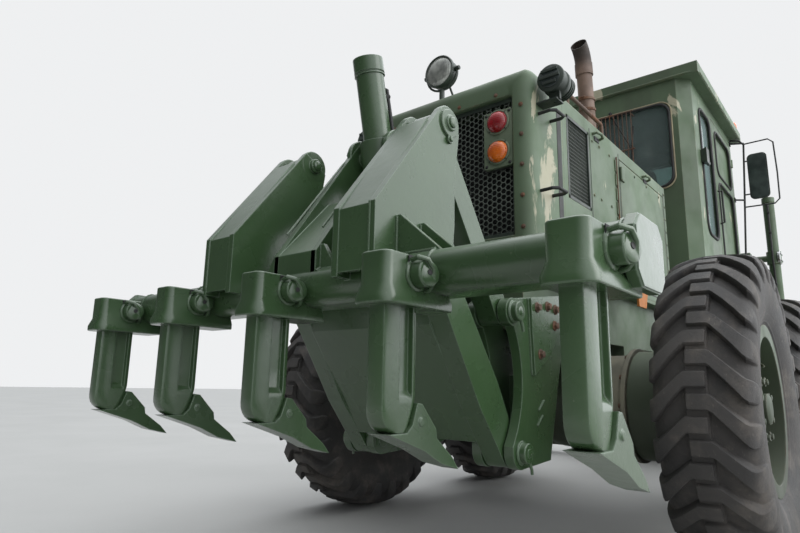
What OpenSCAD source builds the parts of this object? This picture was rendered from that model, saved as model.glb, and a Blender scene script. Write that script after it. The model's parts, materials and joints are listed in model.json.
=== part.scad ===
// Articulated six-wheel motor grader with a rear ripper.
// Inside the modules X runs forward from the middle of the tandem, Y to the left and Z up from
// the ground. The part as a whole is then moved so that its origin lies under its middle.

/* [Wheels] */
// Outer diameter of a tyre over its lugs
tyre_d = 1290; // [1250:5:1300]
// Width of a tyre
tyre_w = 340; // [320:5:350]
// Height of a tread lug
lug_h = 34; // [20:1:40]
// Number of lugs on each side of a tyre
lug_count = 13; // [9:1:14]
// Diameter of a rim at its flanges
rim_d = 660; // [640:5:690]
// Distance from the front axle to the middle of the tandem
wheelbase = 5920; // [5860:10:6000]
// Distance between the two axles of the tandem
tandem_pitch = 1520; // [1480:10:1560]
// Distance between the tyres' middle planes
track = 2080; // [2060:10:2120]

/* [Rear frame] */
// Distance between the outer faces of the frame rails
frame_w = 800; // [760:10:840]
// Width of one frame rail
rail_w = 100; // [80:5:120]
// Height of the frame rails' lower face
rail_z = 950; // [930:5:970]
// Depth of the frame rails
rail_h = 300; // [280:5:320]
// Width of a tandem case
case_w = 180; // [160:5:190]
// Depth of a tandem case
case_h = 480; // [440:10:500]
// Diameter of the rear axle housing
axle_d = 400; // [360:10:440]

/* [Hood] */
// Width of the hood
hood_w = 940; // [900:10:980]
// Height of the hood's top face
hood_z = 2100; // [2060:10:2140]
// Thickness of the hood's panels
panel_t = 25; // [20:1:32]
// Depth of the rear cap from back to front
cap_l = 330; // [300:10:360]
// Radius of the rear cap's upright corners
cap_r = 70; // [50:5:90]
// Diameter of the exhaust stack
stack_d = 110; // [90:5:130]

/* [Ripper] */
// Distance between neighbouring shanks
shank_pitch = 533; // [520:1:540]
// Thickness of a shank
shank_t = 62; // [56:1:66]
// Depth of a shank from back to front
shank_d = 120; // [110:1:126]
// Depth of the ripper beam from back to front
beam_d = 220; // [200:5:230]
// Height of the ripper beam
beam_h = 170; // [150:5:180]
// Thickness of the tower plates
tower_t = 25; // [20:1:30]
// Diameter of the ripper's pivot pins
pin_d = 60; // [50:1:66]
// Outer diameter of the ripper cylinder's barrel
ram_d = 118; // [100:2:124]

/* [Front frame] */
// Width of the box section of the front frame
neck_w = 280; // [260:10:300]
// Depth of the box section of the front frame
neck_h = 330; // [300:10:350]
// Height of the front frame's top ahead of the cab
neck_z = 1950; // [1920:10:1980]
// Distance from the tandem's middle to the articulation pin
hitch_x = 820; // [800:5:840]

/* [Cab] */
// Width of the cab over its side walls
cab_w = 1200; // [1160:10:1240]
// Distance from the cab's rear face to its front face
cab_l = 1560; // [1520:10:1600]
// Height of the cab's floor
floor_z = 1540; // [1510:5:1570]
// Height of the top of the roof
roof_z = 3200; // [3150:10:3250]
// Thickness of the cab's walls and doors
wall_t = 45; // [40:1:55]
// Thickness of the panes
glass_t = 8; // [6:1:10]

/* [Blade] */
// Length of the blade
blade_l = 3600; // [3500:10:3610]
// Height of the blade with its cutting edge
blade_h = 620; // [600:5:640]
// Thickness of the blade's curved plate
blade_t = 22; // [18:1:30]
// Outer diameter of the turning circle
circle_d = 1530; // [1500:10:1550]
// Height of the cutting edge above the ground
blade_gap = 80; // [60:5:120]

/* [Hidden] */
$fn = 48;

// Running gap between pieces that seat on each other
gap = 0.3;
// Clearance between pieces that move past each other
clear = 8;

tyre_r = tyre_d / 2;
// A lug's outer face is flat, so it lies a little inside the radius of its ends
lug_reach = 62;
lug_top = sqrt(tyre_r * tyre_r - lug_reach * lug_reach);
// Height of the wheels' axes above the ground
wheel_z = lug_top;
half_track = track / 2;
front_x = wheelbase - tandem_pitch / 2;
rear_x = -tandem_pitch / 2;
mid_wheel_x = tandem_pitch / 2;

// Pivots of the ripper's parallelogram in the XZ plane
low_pin = [-1500, 465];
top_pin = [-1545, 1000];
link_v = [-440, 625];
beam_pin = low_pin + link_v;
tower_pin = top_pin + link_v;
// Trunnion of the ripper cylinder and the eye of its rod
ram_pin = [-1860, 1650];
ram_eye = [-1600, 520];
beam_c = [-2195, 1015];
pocket_rear = beam_c.x - 280;

rear_end = pocket_rear;
front_end = front_x + tyre_r;
middle = (rear_end + front_end) / 2;

olive = "#4c5a40";
fresh = "#455f41";
rubber = "#26282a";
dark = "#2c2e2c";
rust = "#6b4a38";

// Moves the machine so that its origin lies under its middle
module machine() { translate([-middle, 0, 0]) children(); }

// A box between two corners
module box(lo, hi) { translate(lo) cube(hi - lo); }

// Copies its children to the other side of the middle plane
module both_sides() {
    children();
    mirror([0, 1, 0]) children();
}

// A plate whose outline lies in the XZ plane, centred on y
module plate_xz(y, t) {
    translate([0, y + t / 2, 0]) rotate([90, 0, 0]) linear_extrude(t) children();
}

// A plate whose outline lies in the YZ plane, starting at x
module plate_yz(x, t) {
    translate([x, 0, 0]) rotate([90, 0, 90]) linear_extrude(t) children();
}

// A plate whose outline lies in the XY plane, starting at z
module plate_xy(z, t) { translate([0, 0, z]) linear_extrude(t) children(); }

// A round bar along Y through a point of the XZ plane
module pin_y(p, d, y0, y1) {
    translate([p.x, y1, p.y]) rotate([90, 0, 0]) cylinder(d = d, h = y1 - y0);
}

// A round bar along X through a point of the YZ plane
module pin_x(p, d, x0, x1) {
    translate([x0, p.x, p.y]) rotate([0, 90, 0]) cylinder(d = d, h = x1 - x0);
}

// A round bar between two points
module bar(a, b, d) {
    v = b - a;
    translate(a) rotate([0, acos(v.z / norm(v)), atan2(v.y, v.x)]) cylinder(d = d, h = norm(v));
}

// The outline of a strap with round ends, from its two outer tangents
module strap(a, ra, b, rb) {
    v = b - a;
    lean = atan2(v.y, v.x);
    spread = acos((ra - rb) / norm(v));
    function rim(p, r, turn) = p + r * [cos(lean + turn), sin(lean + turn)];
    translate(a) circle(ra);
    translate(b) circle(rb);
    polygon([rim(a, ra, spread), rim(b, rb, spread), rim(b, rb, -spread), rim(a, ra, -spread)]);
}

// A rectangle with round corners, centred
module soft_square(w, h, r) {
    square([w - 2 * r, h], center = true);
    square([w, h - 2 * r], center = true);
    for (x = [-1, 1], y = [-1, 1]) translate([x * (w / 2 - r), y * (h / 2 - r)]) circle(r);
}

// Wheels

// Half section of the tyre's carcass: each row is radius, then distance from the middle plane
carcass = [
    [rim_d / 2 - 12, tyre_w * 0.36],
    [rim_d / 2 + 12, tyre_w * 0.36],
    [rim_d / 2 + 60, tyre_w * 0.47],
    [tyre_r - 175, tyre_w * 0.5],
    [tyre_r - 85, tyre_w * 0.47],
    [tyre_r - lug_h - 8, tyre_w * 0.36],
    [tyre_r - lug_h, tyre_w * 0.18]
];

// One lug in the plan of the tread: across the tyre, then around it
lug_plan = [[10, -28], [70, -44], [tyre_w / 2 - 2, -lug_reach], [tyre_w / 2 - 2, 2], [75, 22], [10, 30]];

module tyre() {
    rotate([90, 0, 0]) rotate([0, 0, -90]) {
        rotate_extrude($fn = 40)
            polygon(concat(carcass, [for (i = [len(carcass) - 1:-1:0]) [carcass[i].x, -carcass[i].y]]));
        for (side = [0, 1], i = [0:lug_count - 1])
            rotate([180 * side, 0, (i + side / 2) * 360 / lug_count * (1 - 2 * side)]) lug();
    }
}

// A lug stands on the carcass, and its outer end slopes in to the tyre's shoulder
module lug() {
    root = tyre_r - lug_h - 60;
    shoulder = 62;
    intersection() {
        translate([root, 0, 0]) rotate([90, 0, 90]) linear_extrude(lug_top - root)
            polygon([for (p = lug_plan) [p.y, p.x]]);
        translate([0, 100, 0]) rotate([90, 0, 0]) linear_extrude(200)
            polygon([[root, 0], [lug_top, 0], [lug_top, tyre_w / 2 - shoulder],
                [lug_top - 24, tyre_w / 2 - 16], [root, tyre_w / 2 - 2]]);
    }
}

// A dished disc wheel with its hub; the dish side s points outwards
module rim(s, bore_d) {
    r = rim_d / 2;
    seat_r = r - 12 - gap;
    w = tyre_w * 0.36;
    rotate([s > 0 ? 90 : -90, 0, 0]) difference() {
        rotate_extrude() polygon([
            [0, -96], [95, -96], [110, -40], [190, -40], [230, -10], [seat_r - 28, -10],
            [seat_r - 28, -w - 14], [r + 10, -w - 14], [r + 10, -w - 2], [seat_r, -w - 2],
            [seat_r, w + 2], [r + 10, w + 2], [r + 10, w + 14], [seat_r - 28, w + 14],
            [seat_r - 28, 14], [225, 14], [180, -16], [150, -16], [150, hub_face], [0, hub_face]
        ]);
        translate([0, 0, hub_face - 120]) cylinder(d = bore_d + 2 * gap, h = 121);
    }
}
// Distance from a wheel's middle plane to the inner face of its hub
hub_face = 110;
spindle_d = 130;

module wheel_at(x, side) { translate([x, side * half_track, wheel_z]) children(); }
module tyre_rubber(x, side) { color(rubber) machine() wheel_at(x, side) tyre(); }
module wheel_rim(x, side) { color(olive) machine() wheel_at(x, side) rim(side, spindle_d); }

module tyre_rear_left() { tyre_rubber(rear_x, 1); }
module tyre_rear_right() { tyre_rubber(rear_x, -1); }
module tyre_mid_left() { tyre_rubber(mid_wheel_x, 1); }
module tyre_mid_right() { tyre_rubber(mid_wheel_x, -1); }
module tyre_front_left() { tyre_rubber(front_x, 1); }
module tyre_front_right() { tyre_rubber(front_x, -1); }
module rim_rear_left() { wheel_rim(rear_x, 1); }
module rim_rear_right() { wheel_rim(rear_x, -1); }
module rim_mid_left() { wheel_rim(mid_wheel_x, 1); }
module rim_mid_right() { wheel_rim(mid_wheel_x, -1); }
module rim_front_left() { wheel_rim(front_x, 1); }
module rim_front_right() { wheel_rim(front_x, -1); }

// Rear half

rail_top = rail_z + rail_h;
frame_rear = -1380;
frame_front = 560;
case_y = half_track - tyre_w / 2 - 15 - case_w;

module rear_frame() {
    color(olive) machine() {
        both_sides() {
            box([frame_rear, frame_w / 2 - rail_w, rail_z], [frame_front, frame_w / 2, rail_top]);
            box([frame_rear, frame_w / 2 - 1, rail_top - 20], [frame_front, hood_w / 2, rail_top]);
            difference() {
                box([-180, frame_w / 2 - rail_w, wheel_z], [180, frame_w / 2, rail_z + 1]);
                pin_y([0, wheel_z], axle_d + 2 * gap, 0, frame_w);
            }
        }
        for (x = [frame_rear + 290, engine_x[0] - 100, frame_front - 60])
            box([x, -frame_w / 2 + rail_w - 1, rail_z + 20], [x + 60, frame_w / 2 - rail_w + 1, rail_top - 20]);
        hitch_rear();
    }
}

// The two forked plates that carry the articulation pins, and the pins themselves
hitch_d = 110;
fork_z = [990, 1210];
fork_t = 50;
module hitch_rear() {
    for (z = fork_z) plate_xy(z - fork_t / 2, fork_t) {
        translate([frame_front - 20, -260]) square([hitch_x - frame_front - 60, 520]);
        translate([hitch_x - 100, 0]) circle(140);
        translate([hitch_x, 0]) circle(110);
        polygon([[hitch_x - 120, -139], [hitch_x, -110], [hitch_x, 110], [hitch_x - 120, 139]]);
    }
    for (up = [0, 1]) translate([hitch_x, 0, fork_z[up] - 40 - 60 * up]) cylinder(d = hitch_d, h = 140);
}

engine_x = [-700, 430];
module engine_block() {
    color(dark) machine() {
        box([engine_x[0], -280, rail_z + 60], [engine_x[1], 280, 1700]);
        box([-560, -160, 1700], [300, 160, 1850]);
        for (x = [-500, 200]) box([x, -frame_w / 2 + rail_w + gap, rail_z + 110],
            [x + 120, frame_w / 2 - rail_w - gap, rail_z + 190]);
    }
}

cap_x = -1410;
cap_front = cap_x + cap_l;
hood_front = 620;
hood_base = rail_top + gap;
grille_y = 380;
grille_z = [1350, 2000];
// Depth of the grille behind the cap's rear face
grille_in = 28;

module radiator() {
    color(dark) machine() box([cap_x + 150, -grille_y + 10, hood_base], [cap_x + 260, grille_y - 10, 2010]);
}

// The door openings in the hood's sides: each row is start, end
door_x = [-290, 560];
door_z = [1330, 2030];
vent_x = [-1030, -750];
vent_z = [1600, 2030];

module side_cut(x, z) {
    for (y = [-hood_w / 2 - 5, hood_w / 2 - panel_t - 5])
        box([x[0], y, z[0]], [x[1], y + panel_t + 10, z[1]]);
}

module hood() {
    color(olive) machine() difference() {
        box([cap_front + gap, -hood_w / 2, hood_base], [hood_front, hood_w / 2, hood_z]);
        box([cap_front - 10, -hood_w / 2 + panel_t, hood_base - 10],
            [hood_front - panel_t, hood_w / 2 - panel_t, hood_z - panel_t]);
        side_cut(door_x, door_z);
        side_cut(vent_x, vent_z);
    }
}

module rear_cap() {
    color(olive) machine() difference() {
        translate([0, 0, hood_base]) linear_extrude(hood_z + 30 - hood_base) cap_plan(0);
        translate([0, 0, hood_base - 10]) linear_extrude(hood_z - hood_base - 10) cap_plan(40);
        box([cap_x - 10, -grille_y, grille_z[0]], [cap_x + 60, grille_y, grille_z[1]]);
    }
}

module cap_plan(inset) {
    w = hood_w / 2 - inset;
    r = cap_r - inset;
    x = cap_x + inset;
    for (s = [-1, 1]) translate([x + r, s * (w - r)]) circle(r);
    translate([x + r, -w]) square([cap_front - x - r, 2 * w]);
    translate([x, -w + r]) square([r + 5, 2 * (w - r)]);
}

module grilles() {
    color(dark) machine() {
        box([cap_x + grille_in, -grille_y + gap, grille_z[0] + gap],
            [cap_x + grille_in + 6, grille_y - gap, grille_z[1] - gap]);
        for (s = [-1, 1])
            box([vent_x[0] + gap, s * (hood_w / 2 - 12) - 4, vent_z[0] + gap],
                [vent_x[1] - gap, s * (hood_w / 2 - 12) + 4, vent_z[1] - gap]);
    }
}

module hood_door(s) {
    edge = 6;
    color(olive) machine() {
        y = s * (hood_w / 2 - panel_t / 2);
        box([door_x[0] + edge, y - panel_t / 2, door_z[0] + edge],
            [door_x[1] - edge, y + panel_t / 2, door_z[1] - edge]);
        for (z = [1420, 1940]) translate([door_x[0] + 2, s * (hood_w / 2 + 8 + gap), z - 40])
            cylinder(d = 16, h = 80);
        for (z = [1420, 1940]) box([door_x[0] + 2, s * (hood_w / 2 + 4) - 5, z - 38],
            [door_x[0] + 60, s * (hood_w / 2 + 4) + 5, z + 38]);
    }
}
module hood_door_left() { hood_door(1); }
module hood_door_right() { hood_door(-1); }

// Exhaust stack: foot, lean and the turned mouth, which slips over the pipe
stack_foot = [380, -60, hood_z];
stack_top = [300, -60, 3060];
stack_bend = 160;
module exhaust() {
    v = stack_top - stack_foot;
    color(rust) machine() {
        translate([stack_foot.x, stack_foot.y, hood_z + gap]) cylinder(d = stack_d + 60, h = 30);
        bar([stack_foot.x, stack_foot.y, hood_z + 20], stack_top, stack_d);
        translate(stack_top) rotate([0, atan2(v.x, v.z), 0]) {
            translate([0, 0, -90]) difference() {
                cylinder(d = stack_d + 16, h = 90);
                translate([0, 0, 90]) cylinder(d = stack_d - 10, h = 40, center = true);
            }
            translate([-stack_bend, 0, 0]) rotate([90, 0, 0]) rotate_extrude(angle = 55)
                translate([stack_bend, 0]) difference() {
                    circle(d = stack_d + 8);
                    circle(d = stack_d - 4);
                }
        }
    }
}

module rear_axle() {
    color(olive) machine() {
        pin_y([0, wheel_z], axle_d, -case_y + gap, case_y - gap);
        intersection() {
            translate([0, 0, wheel_z]) sphere(d = 560);
            box([-300, -300, 300], [300, 300, rail_z - clear]);
        }
    }
}

module tandem_cases() {
    color(olive) machine() both_sides() {
        plate_xz(case_y + case_w / 2, case_w)
            strap([rear_x, wheel_z], case_h / 2, [mid_wheel_x, wheel_z], case_h / 2);
        for (x = [rear_x, mid_wheel_x]) {
            pin_y([x, wheel_z], spindle_d, case_y + case_w - 1, half_track - 10 + gap);
            pin_y([x, wheel_z], 280, case_y - 30, case_y + 1);
        }
    }
}

module rear_lamps() {
    color("#5a1512") machine() {
        for (z = [1890, 1750]) pin_x([80 - grille_y, z], 105, cap_x - 12, cap_x + grille_in - gap);
        both_sides() {
            pin_x([hood_w / 2 + 90, 2050], 110, -1370, -1250);
            box([-1340, hood_w / 2 + gap, 2035], [-1280, hood_w / 2 + 50, 2065]);
        }
        pin_x([80, 2310], 150, -1330, -1260);
        box([-1310, 65, hood_z + 30 + gap], [-1280, 95, 2250]);
    }
}

// Ripper

// The mount's plates clamp the frame rails between them
mount_t = 40;
mount_y = [frame_w / 2 - rail_w - gap - mount_t / 2, frame_w / 2 + gap + mount_t / 2];
link_y = (mount_y[0] + mount_y[1]) / 2;
link_w = mount_y[1] - mount_y[0] - mount_t - 2 * clear;
module ripper_mount() {
    color(fresh) machine() {
        both_sides() {
            for (y = mount_y) plate_xz(y, mount_t) mount_outline();
            pin_y(low_pin, pin_d, mount_y[0] - 30, mount_y[1] + 50);
            pin_y(top_pin, pin_d, mount_y[0] - 30, mount_y[1] + 50);
            plate_xz(70, 30) eye_lug();
        }
        box([-1330, -mount_y[1], 560], [-1280, mount_y[1], 760]);
    }
}
module mount_outline() {
    translate(low_pin) circle(62);
    translate(top_pin) circle(55);
    difference() {
        polygon([top_pin + [-20, 50], [-1100, 1120], [-1100, 900], [-1250, 420],
            low_pin + [20, -60], low_pin + [-62, 0], top_pin + [-55, 0]]);
        translate([-1880, 735]) circle(400);
    }
}
module eye_lug() {
    strap(ram_eye, 60, [-1310, 640], 80);
}

// A point of a link's own frame: share of its length, then distance behind its middle line
link_u = link_v / norm(link_v);
function on_link(t, behind) = low_pin + t * link_v + behind * [-link_u.y, link_u.x];
// Width of the notch in the web that lets the cylinder's eye through
web_notch = 230;
module ripper_lower_link() {
    mid = on_link(0.35, 0);
    color(fresh) machine() {
        both_sides() difference() {
            plate_xz(link_y, link_w) {
                strap(low_pin, 58, mid, 78);
                strap(mid, 78, beam_pin, 62);
            }
            for (p = [low_pin, beam_pin]) pin_y(p, pin_d + 2 * gap, link_y - link_w, link_y + link_w);
        }
        difference() {
            plate_xz(0, 2 * link_y - link_w + 2) polygon([on_link(0.12, 40), on_link(0.78, 50),
                on_link(0.86, 15), on_link(0.9, 35), on_link(0.8, 74), on_link(0.12, 66)]);
            plate_xz(0, web_notch) polygon([on_link(0, 0), on_link(0.34, 0), on_link(0.34, 120), on_link(0, 120)]);
        }
    }
}

module ripper_upper_links() {
    color(fresh) machine() both_sides() difference() {
        plate_xz(link_y, link_w) strap(top_pin, 50, tower_pin, 50);
        for (p = [top_pin, tower_pin]) pin_y(p, pin_d + 2 * gap, link_y - link_w, link_y + link_w);
    }
}

tower_gap = 150;
module ripper_beam() {
    color(fresh) machine() {
        plate_xz(0, 2300) translate(beam_c) soft_square(beam_d, beam_h, 55);
        both_sides() plate_xz(1165, 30) translate(beam_c) soft_square(beam_d - 10, beam_h + 10, 40);
        both_sides() {
            for (s = [-1, 1]) plate_xz(link_y + s * tower_gap / 2, tower_t) tower_outline();
            plate_xz(link_y, tower_gap) tower_back();
            pin_y(tower_pin, pin_d, link_y - tower_gap / 2 - 30, link_y + tower_gap / 2 + 30);
            pin_y(beam_pin, pin_d, link_y - tower_gap / 2 - 30, link_y + tower_gap / 2 + 30);
            plate_xz(100, tower_t) centre_outline();
            pin_y(ram_pin, 70, ram_d / 2 + 8, 150);
        }
        for (i = [-2:2]) translate([0, i * shank_pitch, 0]) pocket();
    }
}
module tower_outline() {
    translate(tower_pin) circle(70);
    polygon([tower_pin + [-52, 47], [-2305, 1270], [-2305, beam_c.y], [-1960, beam_c.y],
        beam_pin + [60, -20], beam_pin + [60, 30], [-1955, 1180], [-1955, 1480], tower_pin + [68, -20]]);
    translate(beam_pin) circle(64);
}
module tower_back() {
    polygon([tower_pin + [-90, -5], [-2305, 1270], [-2305, 1090], [-2280, 1090], [-2280, 1260],
        tower_pin + [-75, -25]]);
}
module centre_outline() {
    translate(ram_pin) circle(85);
    polygon([ram_pin + [-75, 40], [-2290, 1150], [-2290, beam_c.y], [-2090, beam_c.y],
        [-2090, 1150], ram_pin + [80, -30]]);
}
pocket_w = 104;
module pocket() {
    difference() {
        union() {
            plate_xz(0, pocket_w)
                polygon([[pocket_rear, 1066], [pocket_rear, 915], [-2260, 915], [-2260, 1096]]);
            plate_xz(0, pocket_w + 26)
                polygon([[pocket_rear, 1066], [pocket_rear, 1030], [-2260, 1060], [-2260, 1096]]);
        }
        box([shank_rear - gap, -shank_t / 2 - gap, 800], [shank_rear + shank_d + gap, shank_t / 2 + gap, 1020]);
    }
}

shank_rear = pocket_rear + 20;
module ripper_shanks() {
    color(fresh) machine() for (i = [-2:2]) translate([0, i * shank_pitch, 0]) {
        plate_xz(0, shank_t) polygon([[shank_rear, 1019], [shank_rear, 690], [shank_rear + 15, 620],
            [shank_rear + 75, 575], [shank_rear + 130, 640], [shank_rear + shank_d, 700],
            [shank_rear + shank_d, 1019]]);
        plate_xz(0, shank_t + 16) polygon([[shank_rear + 60, 580], [-2060, 462], [-2150, 530],
            [-2300, 640], [-2335, 665], [-2350, 640]]);
    }
}

// The ripper cylinder's own frame: Z runs from the rod's eye to the trunnion
ram_v = ram_pin - ram_eye;
ram_len = norm(ram_v);
module along_ram() {
    translate([ram_eye.x, 0, ram_eye.y]) rotate([0, atan2(ram_v.x, ram_v.y), 0]) children();
}
module ripper_barrel() {
    color(fresh) machine() along_ram() {
        difference() {
            union() {
                translate([0, 0, ram_len - ram_low]) cylinder(d = ram_d, h = ram_low + ram_up);
                translate([0, 0, ram_len + ram_up - 60]) cylinder(d = ram_d + 10, h = 60);
                translate([0, 0, ram_len - ram_low]) cylinder(d = ram_d + 16, h = 60);
                translate([0, 0, ram_len - 60]) cylinder(d = ram_d + 36, h = 120);
            }
            translate([0, 0, ram_len - ram_low - 1])
                cylinder(d = rod_d + 2 * gap, h = ram_low + ram_up - 39);
            for (s = [-1, 1]) translate([0, s * (ram_d / 2 + 40), ram_len]) rotate([90, 0, 0])
                cylinder(d = 70 + 2 * gap, h = 70, center = true);
        }
    }
}
rod_d = 64;
// How far the barrel reaches below and above its trunnion
ram_low = 360;
ram_up = 410;
module ripper_rod() {
    color("#8d9094") machine() along_ram() {
        translate([0, 0, 40]) cylinder(d = rod_d, h = ram_len - ram_low + 20);
        rotate([90, 0, 0]) cylinder(d = 100, h = 90, center = true);
    }
}

// Front half

cab_x = 1010;
cab_front = cab_x + cab_l;
neck_x = [cab_front + 20, 2950, 4350, 5000];
neck_low = floor_z - 12 - neck_h;
nose_z = 1300;
module front_frame() {
    color(olive) machine() {
        plate_xz(0, neck_w) polygon([
            [hitch_x + 160, fork_z[0] - 10], [hitch_x + 160, floor_z - 12],
            [neck_x[0], floor_z - 12], [neck_x[1], neck_z], [neck_x[2], neck_z],
            [neck_x[3], nose_z], [front_x + 260, nose_z], [front_x + 260, nose_z - 260],
            [neck_x[3] - 60, nose_z - neck_h], [neck_x[2] - 60, neck_z - neck_h],
            [neck_x[1] + 60, neck_z - neck_h], [neck_x[0] - 170, neck_low],
            [hitch_x + 680, neck_low], [hitch_x + 430, fork_z[0] - 10]]);
        plate_yz(front_x - 180, 360) polygon([[-180, nose_z - 270], [180, nose_z - 270],
            [140, 800], [-140, 800]]);
        front_plate();
        hitch_front();
        box([hitch_x + 190, -cab_w / 2 + 120, floor_z - 110], [hitch_x + 290, cab_w / 2 - 120, floor_z - gap]);
        box([cab_front - 420, -cab_w / 2 + 120, floor_z - 110],
            [cab_front - 320, cab_w / 2 - 120, floor_z - gap]);
        lift_saddle();
        ball_socket();
    }
}
// The bolted plate at the nose, with the centre and the steps of its hole pattern
plate_x = front_x + 300;
plate_z = nose_z - 150;
plate_hole = [560, 260];
plate_hole_d = 27;
module front_plate() {
    difference() {
        box([plate_x - 41, -350, plate_z - 180], [plate_x, 350, plate_z + 180]);
        for (y = [-0.5, 0.5], z = [-0.5, 0.5])
            pin_x([y * plate_hole.x, plate_z + z * plate_hole.y], plate_hole_d, plate_x - 50, plate_x + 10);
    }
}

module hitch_front() {
    for (up = [0, 1]) difference() {
        plate_xy(fork_z[up] + (up ? -fork_t * 1.5 - clear : fork_t / 2 + clear), fork_t) {
            translate([hitch_x, 0]) circle(100);
            polygon([[hitch_x, -100], [hitch_x + 200, -150], [hitch_x + 200, 150], [hitch_x, 100]]);
        }
        translate([hitch_x, 0, fork_z[up] - 150]) cylinder(d = hitch_d + 2 * gap, h = 300);
    }
}

// The yoke over the frame whose ears hold the lift cylinders
lift_x = 2950;
lift_y = 820;
lift_z = 1980;
trunnion_d = 60;
module lift_saddle() {
    both_sides() {
        plate_yz(lift_x - 50, 100) polygon([[neck_w / 2 - 1, neck_z - neck_h + 20],
            [neck_w / 2 - 1, neck_z + 110], [lift_y - 190, lift_z + 70], [lift_y - 190, lift_z - 70],
            [neck_w / 2 + 80, neck_z - 60], [neck_w / 2 + 80, neck_z - neck_h + 20]]);
        pin_y([lift_x, lift_z], trunnion_d, lift_y - 200, lift_y - 50);
    }
    box([lift_x - 50, -neck_w / 2, neck_z - 1], [lift_x + 50, neck_w / 2, neck_z + 110]);
}

// The drawbar's eye hangs on this pin, between two ears under the nose
ball_p = [4800, 800];
ball_w = 100;
ear_t = 32;
module ball_socket() {
    box([front_x - 250, -90, 740], [front_x - 170, 90, nose_z - 290]);
    pin_y(ball_p, pin_d, -ball_w / 2 - clear - ear_t - 8, ball_w / 2 + clear + ear_t + 8);
    both_sides() plate_xz(ball_w / 2 + clear + ear_t / 2, ear_t)
        strap(ball_p, 70, [front_x - 200, 840], 95);
}

cab_top = roof_z - 90;
cab_y = cab_w / 2;
// Openings of the cab: start and end along X or Y, then start and end in height
rear_window = [[-cab_y + 150, cab_y - 150], [2250, 2930]];
side_window = [[cab_x + 270, cab_x + 640], [1910, 2960]];
door_opening = [[cab_x + 740, cab_front - 60], [floor_z + 60, 3030]];
wind_window = [[-cab_y + 90, cab_y - 90], [floor_z + 180, 2980]];
window_r = 90;
// The door's sill between its two panes
sill_z = [2480, 2550];

// A window's outline, shrunk by g on every side: across, then in height
module window_outline(w, g) {
    translate([(w[0][0] + w[0][1]) / 2, (w[1][0] + w[1][1]) / 2])
        soft_square(w[0][1] - w[0][0] - 2 * g, w[1][1] - w[1][0] - 2 * g, window_r - g);
}

// The cab's plan has its rear corners cut off
module cab_plan(inset) {
    y = cab_y - inset;
    c = 90 - 0.4 * inset;
    polygon([[cab_x + inset, -y + c], [cab_x + inset, y - c], [cab_x + inset + c, y],
        [cab_front - inset, y], [cab_front - inset, -y], [cab_x + inset + c, -y]]);
}

module cab_shell() {
    color(olive) machine() {
        plate_xy(floor_z, 40) cab_plan(0);
        difference() {
            plate_xy(floor_z + 39, cab_top - floor_z - 39) cab_plan(0);
            plate_xy(floor_z, roof_z - floor_z) cab_plan(wall_t);
            plate_yz(cab_x - 5, wall_t + 10) window_outline(rear_window, 0);
            plate_yz(cab_front - wall_t - 5, wall_t + 10) window_outline(wind_window, 0);
            plate_xz(0, cab_w + 10) window_outline(side_window, 0);
            box([door_opening[0][0], -cab_y - 5, door_opening[1][0]],
                [door_opening[0][1], cab_y + 5, door_opening[1][1]]);
        }
    }
}

module cab_roof() {
    color(olive) machine() {
        box([cab_x - 20, -cab_y - 80, cab_top + gap], [cab_front + 110, cab_y + 80, roof_z]);
    }
}

// Depth of the panes behind the walls' outer faces
pane_in = 18;
module cab_glass() {
    color("#8fa0a0") machine() {
        plate_yz(cab_x + pane_in, glass_t) window_outline(rear_window, gap);
        plate_yz(cab_front - pane_in - glass_t, glass_t) window_outline(wind_window, gap);
        both_sides() plate_xz(cab_y - pane_in - glass_t / 2, glass_t) window_outline(side_window, gap);
    }
}

module cab_door(s) {
    edge = 6;
    frame = 75;
    across = [door_opening[0][0] + frame, door_opening[0][1] - frame];
    panes = [[across, [floor_z + 200, sill_z[0]]], [across, [sill_z[1], door_opening[1][1] - frame]]];
    hinge = [door_opening[0][1], s * (cab_y + 10)];
    color(olive) machine() {
        difference() {
            plate_xz(s * (cab_y - wall_t / 2), wall_t) polygon([
                [door_opening[0][0] + edge, door_opening[1][0] + edge],
                [door_opening[0][1] - edge, door_opening[1][0] + edge],
                [door_opening[0][1] - edge, door_opening[1][1] - edge],
                [door_opening[0][0] + edge, door_opening[1][1] - edge]]);
            for (w = panes) plate_xz(s * (cab_y - wall_t / 2), wall_t + 10) window_outline(w, 0);
        }
        for (w = panes) plate_xz(s * (cab_y - wall_t / 2), glass_t) window_outline(w, -1);
        for (z = [1800, 2850]) {
            translate([hinge.x, hinge.y, z - 40]) cylinder(d = 18, h = 80);
            box([hinge.x - 60, hinge.y - s * 5 - 5, z - 38], [hinge.x, hinge.y - s * 5 + 5, z + 38]);
        }
    }
}
module cab_door_left() { cab_door(1); }
module cab_door_right() { cab_door(-1); }

module seat() {
    floor_top = floor_z + 40 + gap;
    color("#1d1e1f") machine() translate([cab_x, 0, floor_top]) {
        box([410, -150, 0], [710, 150, 260]);
        box([330, -250, 259], [830, 250, 380]);
        plate_xz(0, 480) polygon([[320, 370], [430, 370], [340, 980], [240, 980]]);
    }
}

module controls() {
    wheel_p = [-480, 0, 830];
    color(dark) machine() translate([cab_front, 0, floor_z + 40 + gap]) {
        plate_xz(0, 240) polygon([[-390, 0], [-190, 0], [-270, 700], [-390, 720]]);
        for (i = [-4:4]) bar([-420, i * 50, 640], [-470, i * 55, 860], 14);
        box([-430, -240, 600], [-370, 240, 660]);
        bar([-330, 0, 690], wheel_p + [-6, 0, 3], 40);
        translate(wheel_p) rotate([0, -60, 0]) {
            rotate_extrude() translate([200, 0]) circle(d = 28, $fn = 16);
            for (a = [0, 120, 240]) rotate([0, 0, a]) rotate([0, 90, 0]) cylinder(d = 18, h = 200, $fn = 16);
        }
    }
}

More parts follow.
